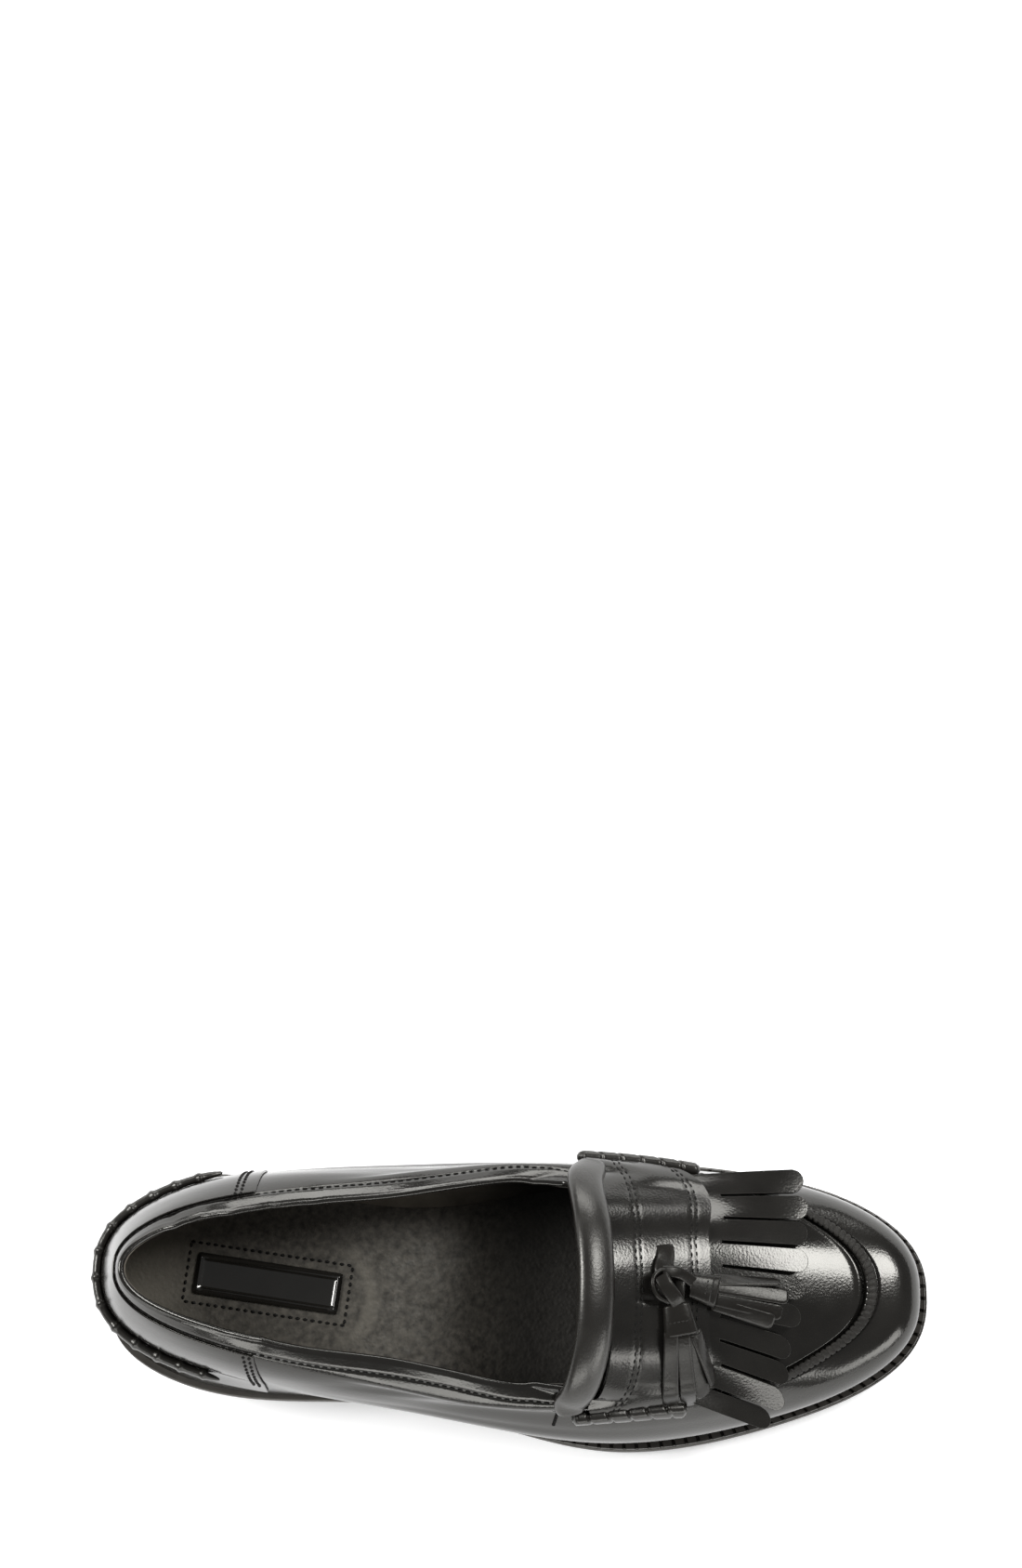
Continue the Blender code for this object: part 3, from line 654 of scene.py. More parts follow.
def strap(spots, width, thickness, tilt, taper):
    """A flat strap swept through a few spots. Tilt, in degrees, turns it on its edge, and
    taper(u) gives its width factor along the way."""
    spots = np.asarray(spots, float)
    gone = distances(spots)
    way = np.linspace(0, gone[-1], STRAP_FACES[0] + 1)
    centre = np.stack([smooth_curve(gone, spots[:, axis], way, False) for axis in range(3)], axis=-1)
    run = unit(np.gradient(centre, axis=0))
    flat = unit(np.cross(run, UP))
    up = np.cross(flat, run)
    turned = np.broadcast_to(np.radians(tilt), way.shape)[:, None]
    side = flat * np.cos(turned) + up * np.sin(turned)
    top = up * np.cos(turned) - flat * np.sin(turned)
    turn = np.linspace(0, 2 * math.pi, STRAP_FACES[1] + 1)
    u = way / gone[-1]
    across = width / 2 * taper(u)[:, None] * squared(np.cos(turn), STRAP_SQUARE)
    above = thickness / 2 * rounded_ends(u, STRAP_BLUNT)[:, None] * squared(np.sin(turn), STRAP_SQUARE)
    points = centre[:, None] + side[:, None] * across[..., None] + top[:, None] * above[..., None]
    return skinned(points, closed=True)


def sew(made, spots, outs, pitch, stitch):
    """Adds a row of stitches along a line of spots; outs are the normals of the leather there."""
    gone = distances(spots)
    ways = np.arange(pitch / 2, gone[-1], pitch)
    for way in ways:
        here = np.array([np.interp(way, gone, spots[:, axis]) for axis in range(3)])
        ahead = np.array([np.interp(way + pitch / 4, gone, spots[:, axis]) for axis in range(3)])
        out = np.array([np.interp(way, gone, outs[:, axis]) for axis in range(3)])
        run = Vector(ahead - here).normalized()
        side = Vector(out).cross(run).normalized()
        top = run.cross(side)
        turn = Matrix((run, side, top)).transposed().to_4x4()
        place = Matrix.Translation(to_frame(here)) @ turn @ Matrix.Diagonal((*stitch, 1))
        bmesh.ops.create_uvsphere(made, u_segments=6, v_segments=4, radius=MM, matrix=place)


def sew_on_upper(made, angles, rises, lift, pitch, stitch):
    sew(made, lifted(angles, rises, np.full_like(angles, lift)), upper_normals(angles, rises), pitch, stitch)


def ground_under(*names):
    """A function that gives the height of the highest of these pieces under a spot."""
    built = bpy.context.evaluated_depsgraph_get()
    trees = [BVHTree.FromObject(bpy.data.objects[name], built) for name in names]

    def height(x, y):
        spot = to_frame((x, y, PROBE_HEIGHT))
        hits = [tree.ray_cast(Vector(spot), Vector((0, 0, -1)))[0] for tree in trees]
        return max((hit.z / MM for hit in hits if hit), default=0.0)

    return height


# Finishes

def add_node(tree, kind, inputs=None, **settings):
    """Adds a shader node. An input is given a value, or the socket that feeds it."""
    made = tree.nodes.new(kind)
    for name, value in settings.items():
        setattr(made, name, value)
    for name, value in (inputs or {}).items():
        if isinstance(value, bpy.types.NodeSocket):
            tree.links.new(value, made.inputs[name])
        else:
            made.inputs[name].default_value = value
    return made


def combined(tree, operation, one, other):
    """Two numbers put together by a maths node."""
    return add_node(tree, "ShaderNodeMath", {0: one, 1: other}, operation=operation).outputs[0]


def ranged(tree, value, stops, shares, easing="SMOOTHSTEP"):
    """A value that goes from the first share to the second one between two stops."""
    made = add_node(tree, "ShaderNodeMapRange", {
        "Value": value, "From Min": stops[0], "From Max": stops[1], "To Min": shares[0], "To Max": shares[1],
    }, interpolation_type=easing)
    return made.outputs["Result"]


def blended(tree, share, colour, other):
    """One colour that goes over into another."""
    return add_node(tree, "ShaderNodeMix", {0: share, 6: colour, 7: other}, data_type="RGBA").outputs[2]


def new_group(name, takes, gives):
    """A shader node group with named number and vector inputs and number outputs."""
    tree = bpy.data.node_groups.new(name, "ShaderNodeTree")
    for socket, kind in takes.items():
        tree.interface.new_socket(socket, in_out="INPUT", socket_type=kind)
    for socket in gives:
        tree.interface.new_socket(socket, in_out="OUTPUT", socket_type="NodeSocketFloat")
    return tree, add_node(tree, "NodeGroupInput").outputs, add_node(tree, "NodeGroupOutput")


PORE_DETAIL = 4.0
PATCHES_DETAIL = 3.0
PATCHES_SPREAD = (0.3, 0.7)


def grain_group():
    """Height of leather grain: small rounded cells with pores between them."""
    name = "Leather grain"
    if name in bpy.data.node_groups:
        return bpy.data.node_groups[name]
    takes = {"Vector": "NodeSocketVector", "Cells": "NodeSocketFloat"}
    tree, given, result = new_group(name, takes, ("Height",))
    at_cells = {"Vector": given["Vector"], "Scale": given["Cells"]}
    cells = add_node(tree, "ShaderNodeTexVoronoi", at_cells, feature="SMOOTH_F1")
    pores = add_node(tree, "ShaderNodeTexNoise", {**at_cells, "Detail": PORE_DETAIL})
    height = combined(tree, "SUBTRACT", pores.outputs["Fac"], cells.outputs["Distance"])
    tree.links.new(height, result.inputs["Height"])
    return tree


def patches_group():
    """A value that drifts between Low and High in soft patches, as rubbed leather does."""
    name = "Rubbed patches"
    if name in bpy.data.node_groups:
        return bpy.data.node_groups[name]
    takes = {"Vector": "NodeSocketVector", **dict.fromkeys(("Scale", "Low", "High"), "NodeSocketFloat")}
    tree, given, result = new_group(name, takes, ("Value",))
    noise = add_node(
        tree, "ShaderNodeTexNoise",
        {"Vector": given["Vector"], "Scale": given["Scale"], "Detail": PATCHES_DETAIL},
    )
    shares = (given["Low"], given["High"])
    spread = ranged(tree, noise.outputs["Fac"], PATCHES_SPREAD, shares, easing="LINEAR")
    tree.links.new(spread, result.inputs["Value"])
    return tree


# A finish: darkest and lightest roughness, grain cells per metre, grain height in millimetres,
# scale of its patches, coat, how far its colour lightens in the patches, and its specular level
Finish = namedtuple("Finish", "smooth rough cells grain patches coat paler shine")
POLISHED = Finish(0.12, 0.20, 1500, 0.02, 60, 0.0, 1.6, 0.46)
SOFT = Finish(0.27, 0.36, 1300, 0.03, 90, 0.0, 1.5, 0.5)
SEAM = Finish(0.48, 0.62, 1800, 0.07, 200, 0.0, 1.8, 0.25)
TASSEL = Finish(0.25, 0.36, 1300, 0.03, 90, 0.0, 1.5, 0.24)
RUBBER = Finish(0.32, 0.46, 2200, 0.03, 120, 0.0, 1.5, 0.5)
LINING = Finish(0.50, 0.66, 1100, 0.05, 55, 0.0, 2.0, 0.3)
SOCK = Finish(0.46, 0.66, 900, 0.10, 280, 0.0, 3.4, 0.3)
THREAD = Finish(0.50, 0.70, 3500, 0.05, 300, 0.0, 1.5, 0.15)
PLAQUE = Finish(0.08, 0.14, 1500, 0.012, 80, 0.5, 1.4, 0.5)
COAT_ROUGHNESS = 0.06
WARM_SHINE = (1.0, 0.985, 0.93, 1.0)
TONE_SCALE = 1.7

# Painted shade inside the shoe: where its colour darkens towards the toe, along X in metres, and how far
PAINTED_SHADE_OVER = (-0.030, 0.008)
PAINTED_SHADE_DEPTH = 0.88

# The sock's paler places: a rubbed arc round the end of the heel pad (a spot in millimetres, distances
# from it and the line it lies ahead of in metres), and the back of the heel, paler partly from rubbing and
# partly as painted light
PAD_END = (-60.0, 0.5, 27.0)
ARC_STARTS = (0.0135, 0.0165)
ARC_ENDS = (0.0165, 0.021)
ARC_AHEAD = (-0.056, -0.048)
ARC_RUBBED = 0.5
HEEL_RUBBED_AND_LIT_OVER = (-0.118, -0.090)
HEEL_RUBBED_AND_LIT = 0.9


def finish(name, colour, row):
    """A leather, rubber or thread material: grain in its height, patches in gloss and colour."""
    made = bpy.data.materials.get(name)
    if made:
        return made
    made = bpy.data.materials.new(name)
    made.use_nodes = True
    tree = made.node_tree
    shader = tree.nodes["Principled BSDF"]
    spot = add_node(tree, "ShaderNodeTexCoord").outputs["Object"]
    grain = add_node(tree, "ShaderNodeGroup", {"Vector": spot, "Cells": row.cells}, node_tree=grain_group())
    bump = add_node(tree, "ShaderNodeBump", {
        "Height": grain.outputs["Height"], "Strength": 1.0, "Distance": row.grain * MM,
    })
    gloss = add_node(tree, "ShaderNodeGroup", {
        "Vector": spot, "Scale": row.patches, "Low": row.smooth, "High": row.rough,
    }, node_tree=patches_group())
    tone = add_node(tree, "ShaderNodeGroup", {
        "Vector": spot, "Scale": row.patches * TONE_SCALE, "Low": 0.0, "High": 1.0,
    }, node_tree=patches_group())
    paler = [min(1.0, part * row.paler) for part in colour]
    mix = blended(tree, tone.outputs["Value"], (*colour, 1), (*paler, 1))
    tree.links.new(mix, shader.inputs["Base Color"])
    tree.links.new(gloss.outputs["Value"], shader.inputs["Roughness"])
    tree.links.new(bump.outputs["Normal"], shader.inputs["Normal"])
    shader.inputs["Specular IOR Level"].default_value = row.shine
    shader.inputs["Specular Tint"].default_value = WARM_SHINE
    shader.inputs["Coat Weight"].default_value = row.coat
    shader.inputs["Coat Roughness"].default_value = COAT_ROUGHNESS
    return made


def polished_leather():
    return finish("black polished leather", bpy.context.scene.loafer_colours.leather, POLISHED)


def soft_leather():
    return finish("black soft leather", bpy.context.scene.loafer_colours.trim, SOFT)


def seam_leather():
    return finish("black matte seam", bpy.context.scene.loafer_colours.trim, SEAM)


def tassel_leather():
    return finish("black tassel leather", bpy.context.scene.loafer_colours.trim, TASSEL)


def sole_rubber():
    return finish("black sole rubber", bpy.context.scene.loafer_colours.rubber, RUBBER)


def painted_shade_to_toe(made):
    """Paints shade into a material towards the toe, where the inside of the shoe lies in shade."""
    tree = made.node_tree
    shader = tree.nodes["Principled BSDF"]
    plain = shader.inputs["Base Color"].links[0].from_socket
    spot = add_node(tree, "ShaderNodeTexCoord").outputs["Object"]
    along = add_node(tree, "ShaderNodeSeparateXYZ", {0: spot}).outputs["X"]
    # painted shade: the colour darkens towards the toe
    dark = ranged(tree, along, PAINTED_SHADE_OVER, (0.0, PAINTED_SHADE_DEPTH))
    mix = blended(tree, dark, plain, (*bpy.context.scene.loafer_colours.leather, 1))
    tree.links.new(mix, shader.inputs["Base Color"])
    return made


def lining_leather():
    name = "dark lining leather"
    made = bpy.data.materials.get(name)
    # the lining gets painted shade towards the toe
    return made or painted_shade_to_toe(finish(name, bpy.context.scene.loafer_colours.lining, LINING))


def sewing_thread():
    return finish("black sewing thread", bpy.context.scene.loafer_colours.thread, THREAD)


def plaque_finish():
    return finish("gloss label plaque", bpy.context.scene.loafer_colours.leather, PLAQUE)


def sock_leather():
    """Mottled sock leather, paler in a rubbed arc where the heel pad ends and at the back of the heel, which
    is partly rubbed and partly painted light; painted shade darkens it towards the toe.
    """
    name = "mottled sock leather"
    made = bpy.data.materials.get(name)
    if made:
        return made
    colours = bpy.context.scene.loafer_colours
    made = finish(name, colours.sock, SOCK)
    tree = made.node_tree
    shader = tree.nodes["Principled BSDF"]
    plain = shader.inputs["Base Color"].links[0].from_socket
    spot = add_node(tree, "ShaderNodeTexCoord").outputs["Object"]
    pad_end = {0: spot, 1: tuple(to_frame(PAD_END))}
    away = add_node(tree, "ShaderNodeVectorMath", pad_end, operation="DISTANCE").outputs["Value"]
    along = add_node(tree, "ShaderNodeSeparateXYZ", {0: spot}).outputs["X"]
    arc = ranged(tree, away, ARC_STARTS, (0.0, ARC_RUBBED))
    arc = combined(tree, "MULTIPLY", arc, ranged(tree, away, ARC_ENDS, (1.0, 0.0)))
    arc = combined(tree, "MULTIPLY", arc, ranged(tree, along, ARC_AHEAD, (0.0, 1.0), easing="LINEAR"))
    # the back of the heel: partly rubbed, partly painted light making up for the shade of the heel walls
    heel = ranged(tree, along, HEEL_RUBBED_AND_LIT_OVER, (HEEL_RUBBED_AND_LIT, 0.0))
    worn_and_lit = blended(tree, combined(tree, "ADD", arc, heel), plain, (*colours.worn_and_lit, 1))
    tree.links.new(worn_and_lit, shader.inputs["Base Color"])
    return painted_shade_to_toe(made)


# Sizes and colours that a user may change

def length(name, description, millimetres):
    return bpy.props.FloatProperty(
        name=name, description=description, default=millimetres * MM, min=0.0, unit="LENGTH", precision=5,
    )


def tint(name, description, colour):
    return bpy.props.FloatVectorProperty(
        name=name, description=description, default=colour, min=0.0, max=1.0, size=3, subtype="COLOR",
    )


class LoaferSizes(bpy.types.PropertyGroup):
    """Sizes of the sewn and moulded detail"""

    collar_roll: length("Collar roll", "Height of the rolled collar edge", 0.8)
    topline: length("Topline", "Distance of the topline stitching below the collar", 5.0)
    groove_depth: length("Apron groove", "Depth of the groove inside the apron seam", 1.8)
    groove_width: length("Groove width", "Half width of the groove inside the apron seam", 0.8)
    overlay: length("Overlay", "Thickness of the saddle and the fringed leaf", 1.2)
    counter: length("Counter", "Thickness of the counter at the heel", 0.7)
    rib_pitch: length("Welt rib", "Distance from one rib of the welt to the next", 4.0)
    rib_depth: length("Welt notch", "Depth of the notches between the ribs", 1.6)
    stitch_pitch: length("Stitch", "Distance from one stitch to the next", 2.5)
    plaque: length("Plaque", "Thickness of the label plaque on the insole", 0.7)


class LoaferColours(bpy.types.PropertyGroup):
    """Colours of the leathers, the sole and the floor"""

    leather: tint("Polished leather", "Upper, saddle, fringe and counter", (0.0060, 0.0056, 0.0050))
    trim: tint("Soft leather", "Rolls, apron seam and tassels", (0.0062, 0.0056, 0.0049))
    rubber: tint("Sole rubber", "Outsole, welt and heel", (0.022, 0.0200, 0.0176))
    # the lining's colour is partly its own leather tone and partly painted light, paler to make up for the
    # little light that reaches inside the shoe
    lining: tint("Lining", "Inside of the upper", (0.085, 0.075, 0.061))
    sock: tint("Sock", "Insole cover", (0.022, 0.0200, 0.0166))
    # paler sock colour: rubbed in the arc, partly painted light at the back of the heel
    worn_and_lit: tint("Rubbed sock", "Paler rubbed arc on the insole cover", (0.12, 0.11, 0.09))
    thread: tint("Thread", "Stitching", (0.003, 0.0029, 0.0028))
    floor: tint("Floor", "Floor and background", (0.93, 0.93, 0.93))


def sizes():
    return bpy.context.scene.loafer_sizes


# The upper and what is sewn on it

def wall_rises():
    """Rises of the rows of the outer wall, from the feather line to the collar."""
    rows = [np.array([0.0])]
    for band in WALL_ROWS:
        rows.append(np.linspace(rows[-1][-1], band.rise_to, band.rows + 1)[1:])
    return np.concatenate(rows)


def crease_relief(points, angles, rises):
    """Height of the listed creases over the smooth upper."""
    around = distances(points, axis=0)
    above = distances(points, axis=1)
    relief = np.zeros(points.shape[:2])
    for crease in CREASES:
        column = np.argmin(np.abs(angles - math.radians(crease.angle % 360)))
        row = np.argmin(np.abs(rises - crease.rise))
        along = around - around[column]
        up = above - above[:, row, None]
        cos = math.cos(math.radians(crease.tilt))
        sin = math.sin(math.radians(crease.tilt))
        length_way = along * cos + up * sin
        cross_way = up * cos - along * sin
        relief -= crease.depth * bell(length_way, crease.reach) * bell(cross_way, crease.width)
    return relief


def pressed(ridge, place):
    """Height of a ridge at these places."""
    return ridge.height * bell(place - ridge.place, ridge.width)


def degrees_from_toe(angles):
    """Angles in degrees, from -180 (lateral) to 180 (medial)."""
    return np.degrees(np.where(angles > math.pi, angles - 2 * math.pi, angles))


def seam_relief(points, angles, rises):
    """Groove and lip on the apron's side of its seam, and a line on its other side."""
    turned = degrees_from_toe(angles)
    seam_rows = np.asarray(SEAM_PATH, float)
    seam_rise = np.interp(turned, seam_rows[:, 0], seam_rows[:, 1])
    above = distances(points, axis=1)
    at_seam = np.array([np.interp(rise, rises, row) for rise, row in zip(seam_rise, above)])
    from_seam = above - at_seam[:, None]
    width = sizes().groove_width / MM
    ends = ramp(turned, *SEAM_FADES_LATERAL) * (1 - ramp(turned, *SEAM_FADES_MEDIAL))
    groove = sizes().groove_depth / MM * bell(from_seam - GROOVE_PLACE, width)
    lip = pressed(APRON_LIP, from_seam)
    outer_line = pressed(SEAM_OUTLINE, from_seam)
    return (lip - groove - outer_line) * ends[:, None]


def topline_relief(points, angles):
    """The turned-over collar edge: a soft puff above its stitched line."""
    below = from_collar(points)
    topline = sizes().topline / MM
    behind_throat = ramp(np.abs(degrees_from_toe(angles)), *TOPLINE_STARTS)
    fall = 1 - ramp(below, topline - TOPLINE_PUFF_FALL, topline)
    puff = TOPLINE_PUFF * ramp(below, 0, TOPLINE_PUFF_EDGE) * fall
    stitched = TOPLINE_DIP * bell(below - topline, TOPLINE_DIP_WIDTH)
    return (puff - stitched) * behind_throat[:, None]


def upper_wall():
    """Points of the upper's wall: outer skin, rolled collar edge, inner side and feather edge."""
    angles = np.linspace(0, 2 * math.pi, WALL_COLUMNS + 1)
    rises = wall_rises()
    points = upper_points(angles[:, None], rises[None, :])
    normals = upper_normals(angles[:, None], rises[None, :])
    relief = crease_relief(points, angles, rises) + seam_relief(points, angles, rises)
    relief = relief + topline_relief(points, angles)
    skin = points + normals * relief[..., None]
    radius = UPPER_WALL / 2
    out = wall_normals(angles, rises[-1:])
    rim_run = np.gradient(points[:, -1:], axis=0)
    up = unit(np.cross(rim_run, out))
    up *= np.sign(np.sum(up * (points[:, -1:] - points[:, -3:-2]), axis=2, keepdims=True))
    turn = np.linspace(0, math.pi, COLLAR_ROWS + 1)[None, 1:, None]
    roll_height = sizes().collar_roll / MM
    collar = skin[:, -1:] - out * radius * (1 - np.cos(turn)) + up * roll_height * np.sin(turn)
    inner_rises = np.linspace(1, 0, INNER_ROWS + 1)[1:]
    inner = upper_points(angles[:, None], inner_rises[None, :])
    inner = inner - wall_normals(angles, inner_rises) * UPPER_WALL
    return np.concatenate([skin, collar, inner, skin[:, :1]], axis=1)


class LOAFER_OT_upper(bpy.types.Operator):
    """Build the lasted upper with its apron groove, rolled collar and creases"""

    bl_idname = "loafer.upper"
    bl_label = "Upper"

    def execute(self, context):
        made = skinned(upper_wall(), closed=True)
        add_piece("upper_leather", made, polished_leather(), ("upper",))
        return {"FINISHED"}


class LOAFER_OT_lining(bpy.types.Operator):
    """Build the lining inside the upper"""

    bl_idname = "loafer.lining"
    bl_label = "Lining"

    def execute(self, context):
        angles = np.linspace(0, 2 * math.pi, WALL_COLUMNS + 1)
        rises = np.linspace(*LINING_RISES, LINING_ROWS + 1)
        inset = wall_normals(angles, rises) * (UPPER_WALL + LINING_GAP)
        points = upper_points(angles[:, None], rises[None, :]) - inset
        piece = add_piece("lining", skinned(points), lining_leather())
        thickened(piece, LINING_THICKNESS * MM, LINING_EDGE, offset=-1)
        return {"FINISHED"}


class LOAFER_OT_counter(bpy.types.Operator):
    """Build the counter wrapped round the heel"""

    bl_idname = "loafer.counter"
    bl_label = "Counter"

    def execute(self, context):
        u = np.linspace(0, 1, COUNTER_FACES[0] + 1)[:, None]
        v = np.linspace(0, 1, COUNTER_FACES[1] + 1)[None, :]
        top_angles = math.pi + (2 * u[:, 0] - 1) * (math.pi - angle_at(COUNTER_TOP_X, COUNTER_TOP_RISE))
        top = below_collar(top_angles, sizes().topline / MM + COUNTER_BELOW_TOPLINE)[:, None]
        rises = COUNTER_FOOT_RISE + (top - COUNTER_FOOT_RISE) * v
        front_x = COUNTER_FOOT_X + (COUNTER_TOP_X - COUNTER_FOOT_X) * v[0]
        front = np.array([angle_at(x, rise) for x, rise in zip(front_x, rises[0])])
        angles = math.pi + (2 * u - 1) * (math.pi - front[None, :])
        made = skinned(lifted(angles, rises, np.full(rises.shape, COUNTER_LIFT)))
        piece = add_piece("counter_panel", made, polished_leather(), ("counter",))
        thickened(piece, sizes().counter, SHEET_EDGE)
        return {"FINISHED"}


class LOAFER_OT_apron_seam(bpy.types.Operator):
    """Build the raised, cross-sewn seam round the apron"""

    bl_idname = "loafer.apron_seam"
    bl_label = "Apron seam"

    def execute(self, context):
        add_piece("apron_seam", rolled(APRON_SEAM), seam_leather())
        return {"FINISHED"}


class LOAFER_OT_rolls(bpy.types.Operator):
    """Build the padded throat roll and the whipped rolls at the sides and the heel"""

    bl_idname = "loafer.rolls"
    bl_label = "Rolls"

    def execute(self, context):
        leather = soft_leather()
        throat = add_piece("throat_padding", rolled(THROAT_ROLL), leather, ("throat_roll",))
        for name, roll, node in WHIPPED_ROLLS:
            add_piece(name, rolled(roll), leather, (node,))
        return {"FINISHED"}


def saddle_lift(v):
    """Height of the saddle over the upper: low at its rear edge, over the leaf farther on."""
    return SADDLE_REAR_LIFT + SADDLE_FRONT_LIFT * np.asarray(v, float)


class LOAFER_OT_saddle(bpy.types.Operator):
    """Build the saddle band across the instep"""

    bl_idname = "loafer.saddle"
    bl_label = "Saddle"

    def execute(self, context):
        u = np.linspace(0, 1, SADDLE_FACES[0] + 1)[:, None]
        v = np.linspace(1, 0, SADDLE_FACES[1] + 1)[None, :]
        stitched = sum(bell(v - row, SADDLE_DIP_WIDTH) for row in SADDLE_STITCH_ROWS)
        pinch = PINCH_DEPTH * bell(u - PINCH_PLACE[0], PINCH_SIZE[0])
        pinch = pinch * bell(v - PINCH_PLACE[1], PINCH_SIZE[1])
        lift = saddle_lift(v) - SADDLE_DIP * stitched - pinch
        points = on_saddle(u, v, lift)
        piece = add_piece("saddle_band", skinned(points), polished_leather(), ("saddle",))
        thickened(piece, sizes().overlay, SHEET_EDGE)
        return {"FINISHED"}


def kiltie_points(ground):
    """Points of the fringed leaf: the band under the saddle and the tabs beyond it."""
    columns = len(TABS) * TAB_CELLS + len(TABS) - 1
    column = np.arange(columns + 1)
    tab = np.minimum(column // (TAB_CELLS + 1), len(TABS) - 1)
    first = tab * (TAB_CELLS + 1)
    across = np.array(TAB_ACROSS)[column - first]
    samples = np.linspace(0, 1, SAMPLES)
    front_y = on_saddle(samples, np.ones_like(samples), np.full_like(samples, GAP))[:, 1]
    step = (front_y[-1] - front_y[0]) / (len(TABS) - 1 + FIRST_TAB)
    wide = np.where(tab == 0, FIRST_TAB, 1.0)
    start = np.maximum(tab - 1 + FIRST_TAB, 0)
    y = front_y[0] + step * (start + TAB_SLIT / 2 + across * (wide - TAB_SLIT))
    u = np.interp(y, front_y, samples)
    off_middle = 2 * across - 1
    tips = np.array(TABS)[tab]
    tip = tips[:, :3].copy()
    tip[:, 1] += off_middle * tips[:, 3] / 2
    setback = TAB_SETBACK * (1 - np.sqrt(1 - TAB_ROUND * off_middle**2))
    band = np.linspace(KILTIE_BACK, 1, BAND_ROWS + 1)
    free = np.append(np.linspace(0, 1 - TAB_END_ROW, TAB_ROWS + SLIT_ROOT_ROWS)[1:], 1.0)
    under = on_saddle(u[:, None], band[None, :], np.full((1, 1), GAP))
    root = under[:, -1]
    reach = 1 - setback / (tip[:, 0] - root[:, 0])
    out = free[None, :] * reach[:, None]
    leaf = root[:, None] + (tip - root)[:, None] * out[..., None]
    bow = tips[:, 5, None] * np.sin(math.pi * out)
    twist = tips[:, 4, None] * off_middle[:, None] * out
    leaf[..., 2] += bow + twist
    for spot in leaf.reshape(-1, 3):
        spot[2] = max(spot[2], ground(spot[0], spot[1]) + TAB_CLEARANCE)
    return np.concatenate([under, leaf], axis=1)


class LOAFER_OT_kiltie(bpy.types.Operator):
    """Build the fringed leaf under the saddle"""

    bl_idname = "loafer.kiltie"
    bl_label = "Fringed leaf"

    def execute(self, context):
        ground = ground_under("upper_leather", "apron_seam", "lateral_whipping", "medial_whipping")
        root_row = BAND_ROWS + int(TAB_ROOT * TAB_ROWS)

        def is_slit(column, row):
            return (column % (TAB_CELLS + 1) == TAB_CELLS) & (row >= root_row)

        made = skinned(kiltie_points(ground), drop=is_slit)
        bmesh.ops.reverse_faces(made, faces=made.faces)
        piece = add_piece("fringed_leaf", made, polished_leather(), ("kiltie",))
        thickened(piece, sizes().overlay, TAB_EDGE, edge_finish=seam_leather())
        return {"FINISHED"}


# The sole

def plan_section(ring, angles, shares):
    """Points between a ring's centre line (share 0) and its edge (share 1), seen from above."""
    edge = ring_points(ring, angles)
    across = ring_points(ring, -angles)
    middle = (edge + across) / 2
    return middle[:, None] + (edge - middle)[:, None] * np.asarray(shares)[None, :, None]


# The outsole's faces, where its rounded edge starts (a share of its half width), and the line
# in that edge: its height, depth and width as shares
OUTSOLE_COLUMNS = 360
OUTSOLE_EDGE_ROWS = 12
OUTSOLE_PLAN_ROWS = 8
OUTSOLE_EDGE_SQUARE = 8
OUTSOLE_EDGE_STARTS = 0.985
OUTSOLE_LINE = Ridge(0.72, 0.0021, 0.05)

# The welt: columns a rib, distances from a notch's middle between which it rises, how far it is
# drawn in from the sole's edge, and its section across and up
WELT_COLUMNS = 20
WELT_NOTCH = (0.3, 0.6)
WELT_NOTCH_REACH = 0.12
WELT_INSET = 0.7
WELT_LIFT = 0.05
WELT_SECTION = ((0, 0), (1, 0), (1, 0.5), (1, 0.85), (0.93, 1), (0.6, 1), (0.25, 1), (0, 1), (0, 0))

# The heel block's faces, its rounded rims and the seams over and under it
HEEL_FACES = (40, 24)
HEEL_RIM = 0.5
HEEL_RIM_ANGLE = math.radians(60)
HEEL_BLOCK_INSET = 0.25
HEEL_LIFT_SEAM = 0.15
HEEL_SEAT_SEAM = 0.1

# The sock and the plaque on it
SOCK_FACES = (120, 40)
SOCK_CUP = 6
SOCK_THICKNESS = 2.2
SOCK_EDGE = 0.3
PLAQUE_FACES = (46, 20)
PLAQUE_LIFT = 0.05
PLAQUE_RIM = Ridge(1.0, 0.8, 0.55)
PLAQUE_EDGE = 0.3


class LOAFER_OT_outsole(bpy.types.Operator):
    """Build the outsole with its rounded, grooved edge"""

    bl_idname = "loafer.outsole"
    bl_label = "Outsole"

    def execute(self, context):
        angles = np.linspace(-math.pi, math.pi, OUTSOLE_COLUMNS + 1)
        edge_rows = np.linspace(0, 1, OUTSOLE_EDGE_ROWS + 1)
        rounded = np.sqrt(1 - (2 * edge_rows - 1) ** OUTSOLE_EDGE_SQUARE)
        edge = OUTSOLE_EDGE_STARTS + (1 - OUTSOLE_EDGE_STARTS) * rounded - pressed(OUTSOLE_LINE, edge_rows)
        plan = np.linspace(0, OUTSOLE_EDGE_STARTS, OUTSOLE_PLAN_ROWS + 1)
        shares = np.concatenate([plan, edge, plan[::-1]])
        heights = np.concatenate([np.zeros_like(plan), edge_rows, np.ones_like(plan)])
        points = plan_section(SOLE_EDGE, angles, shares)
        x = points[..., 0]
        points[..., 2] = sole_line(x) + OUTSOLE_THICKNESS * heights[None, :]
        add_piece("rubber_outsole", skinned(points, closed=True), sole_rubber(), ("outsole",))
        return {"FINISHED"}


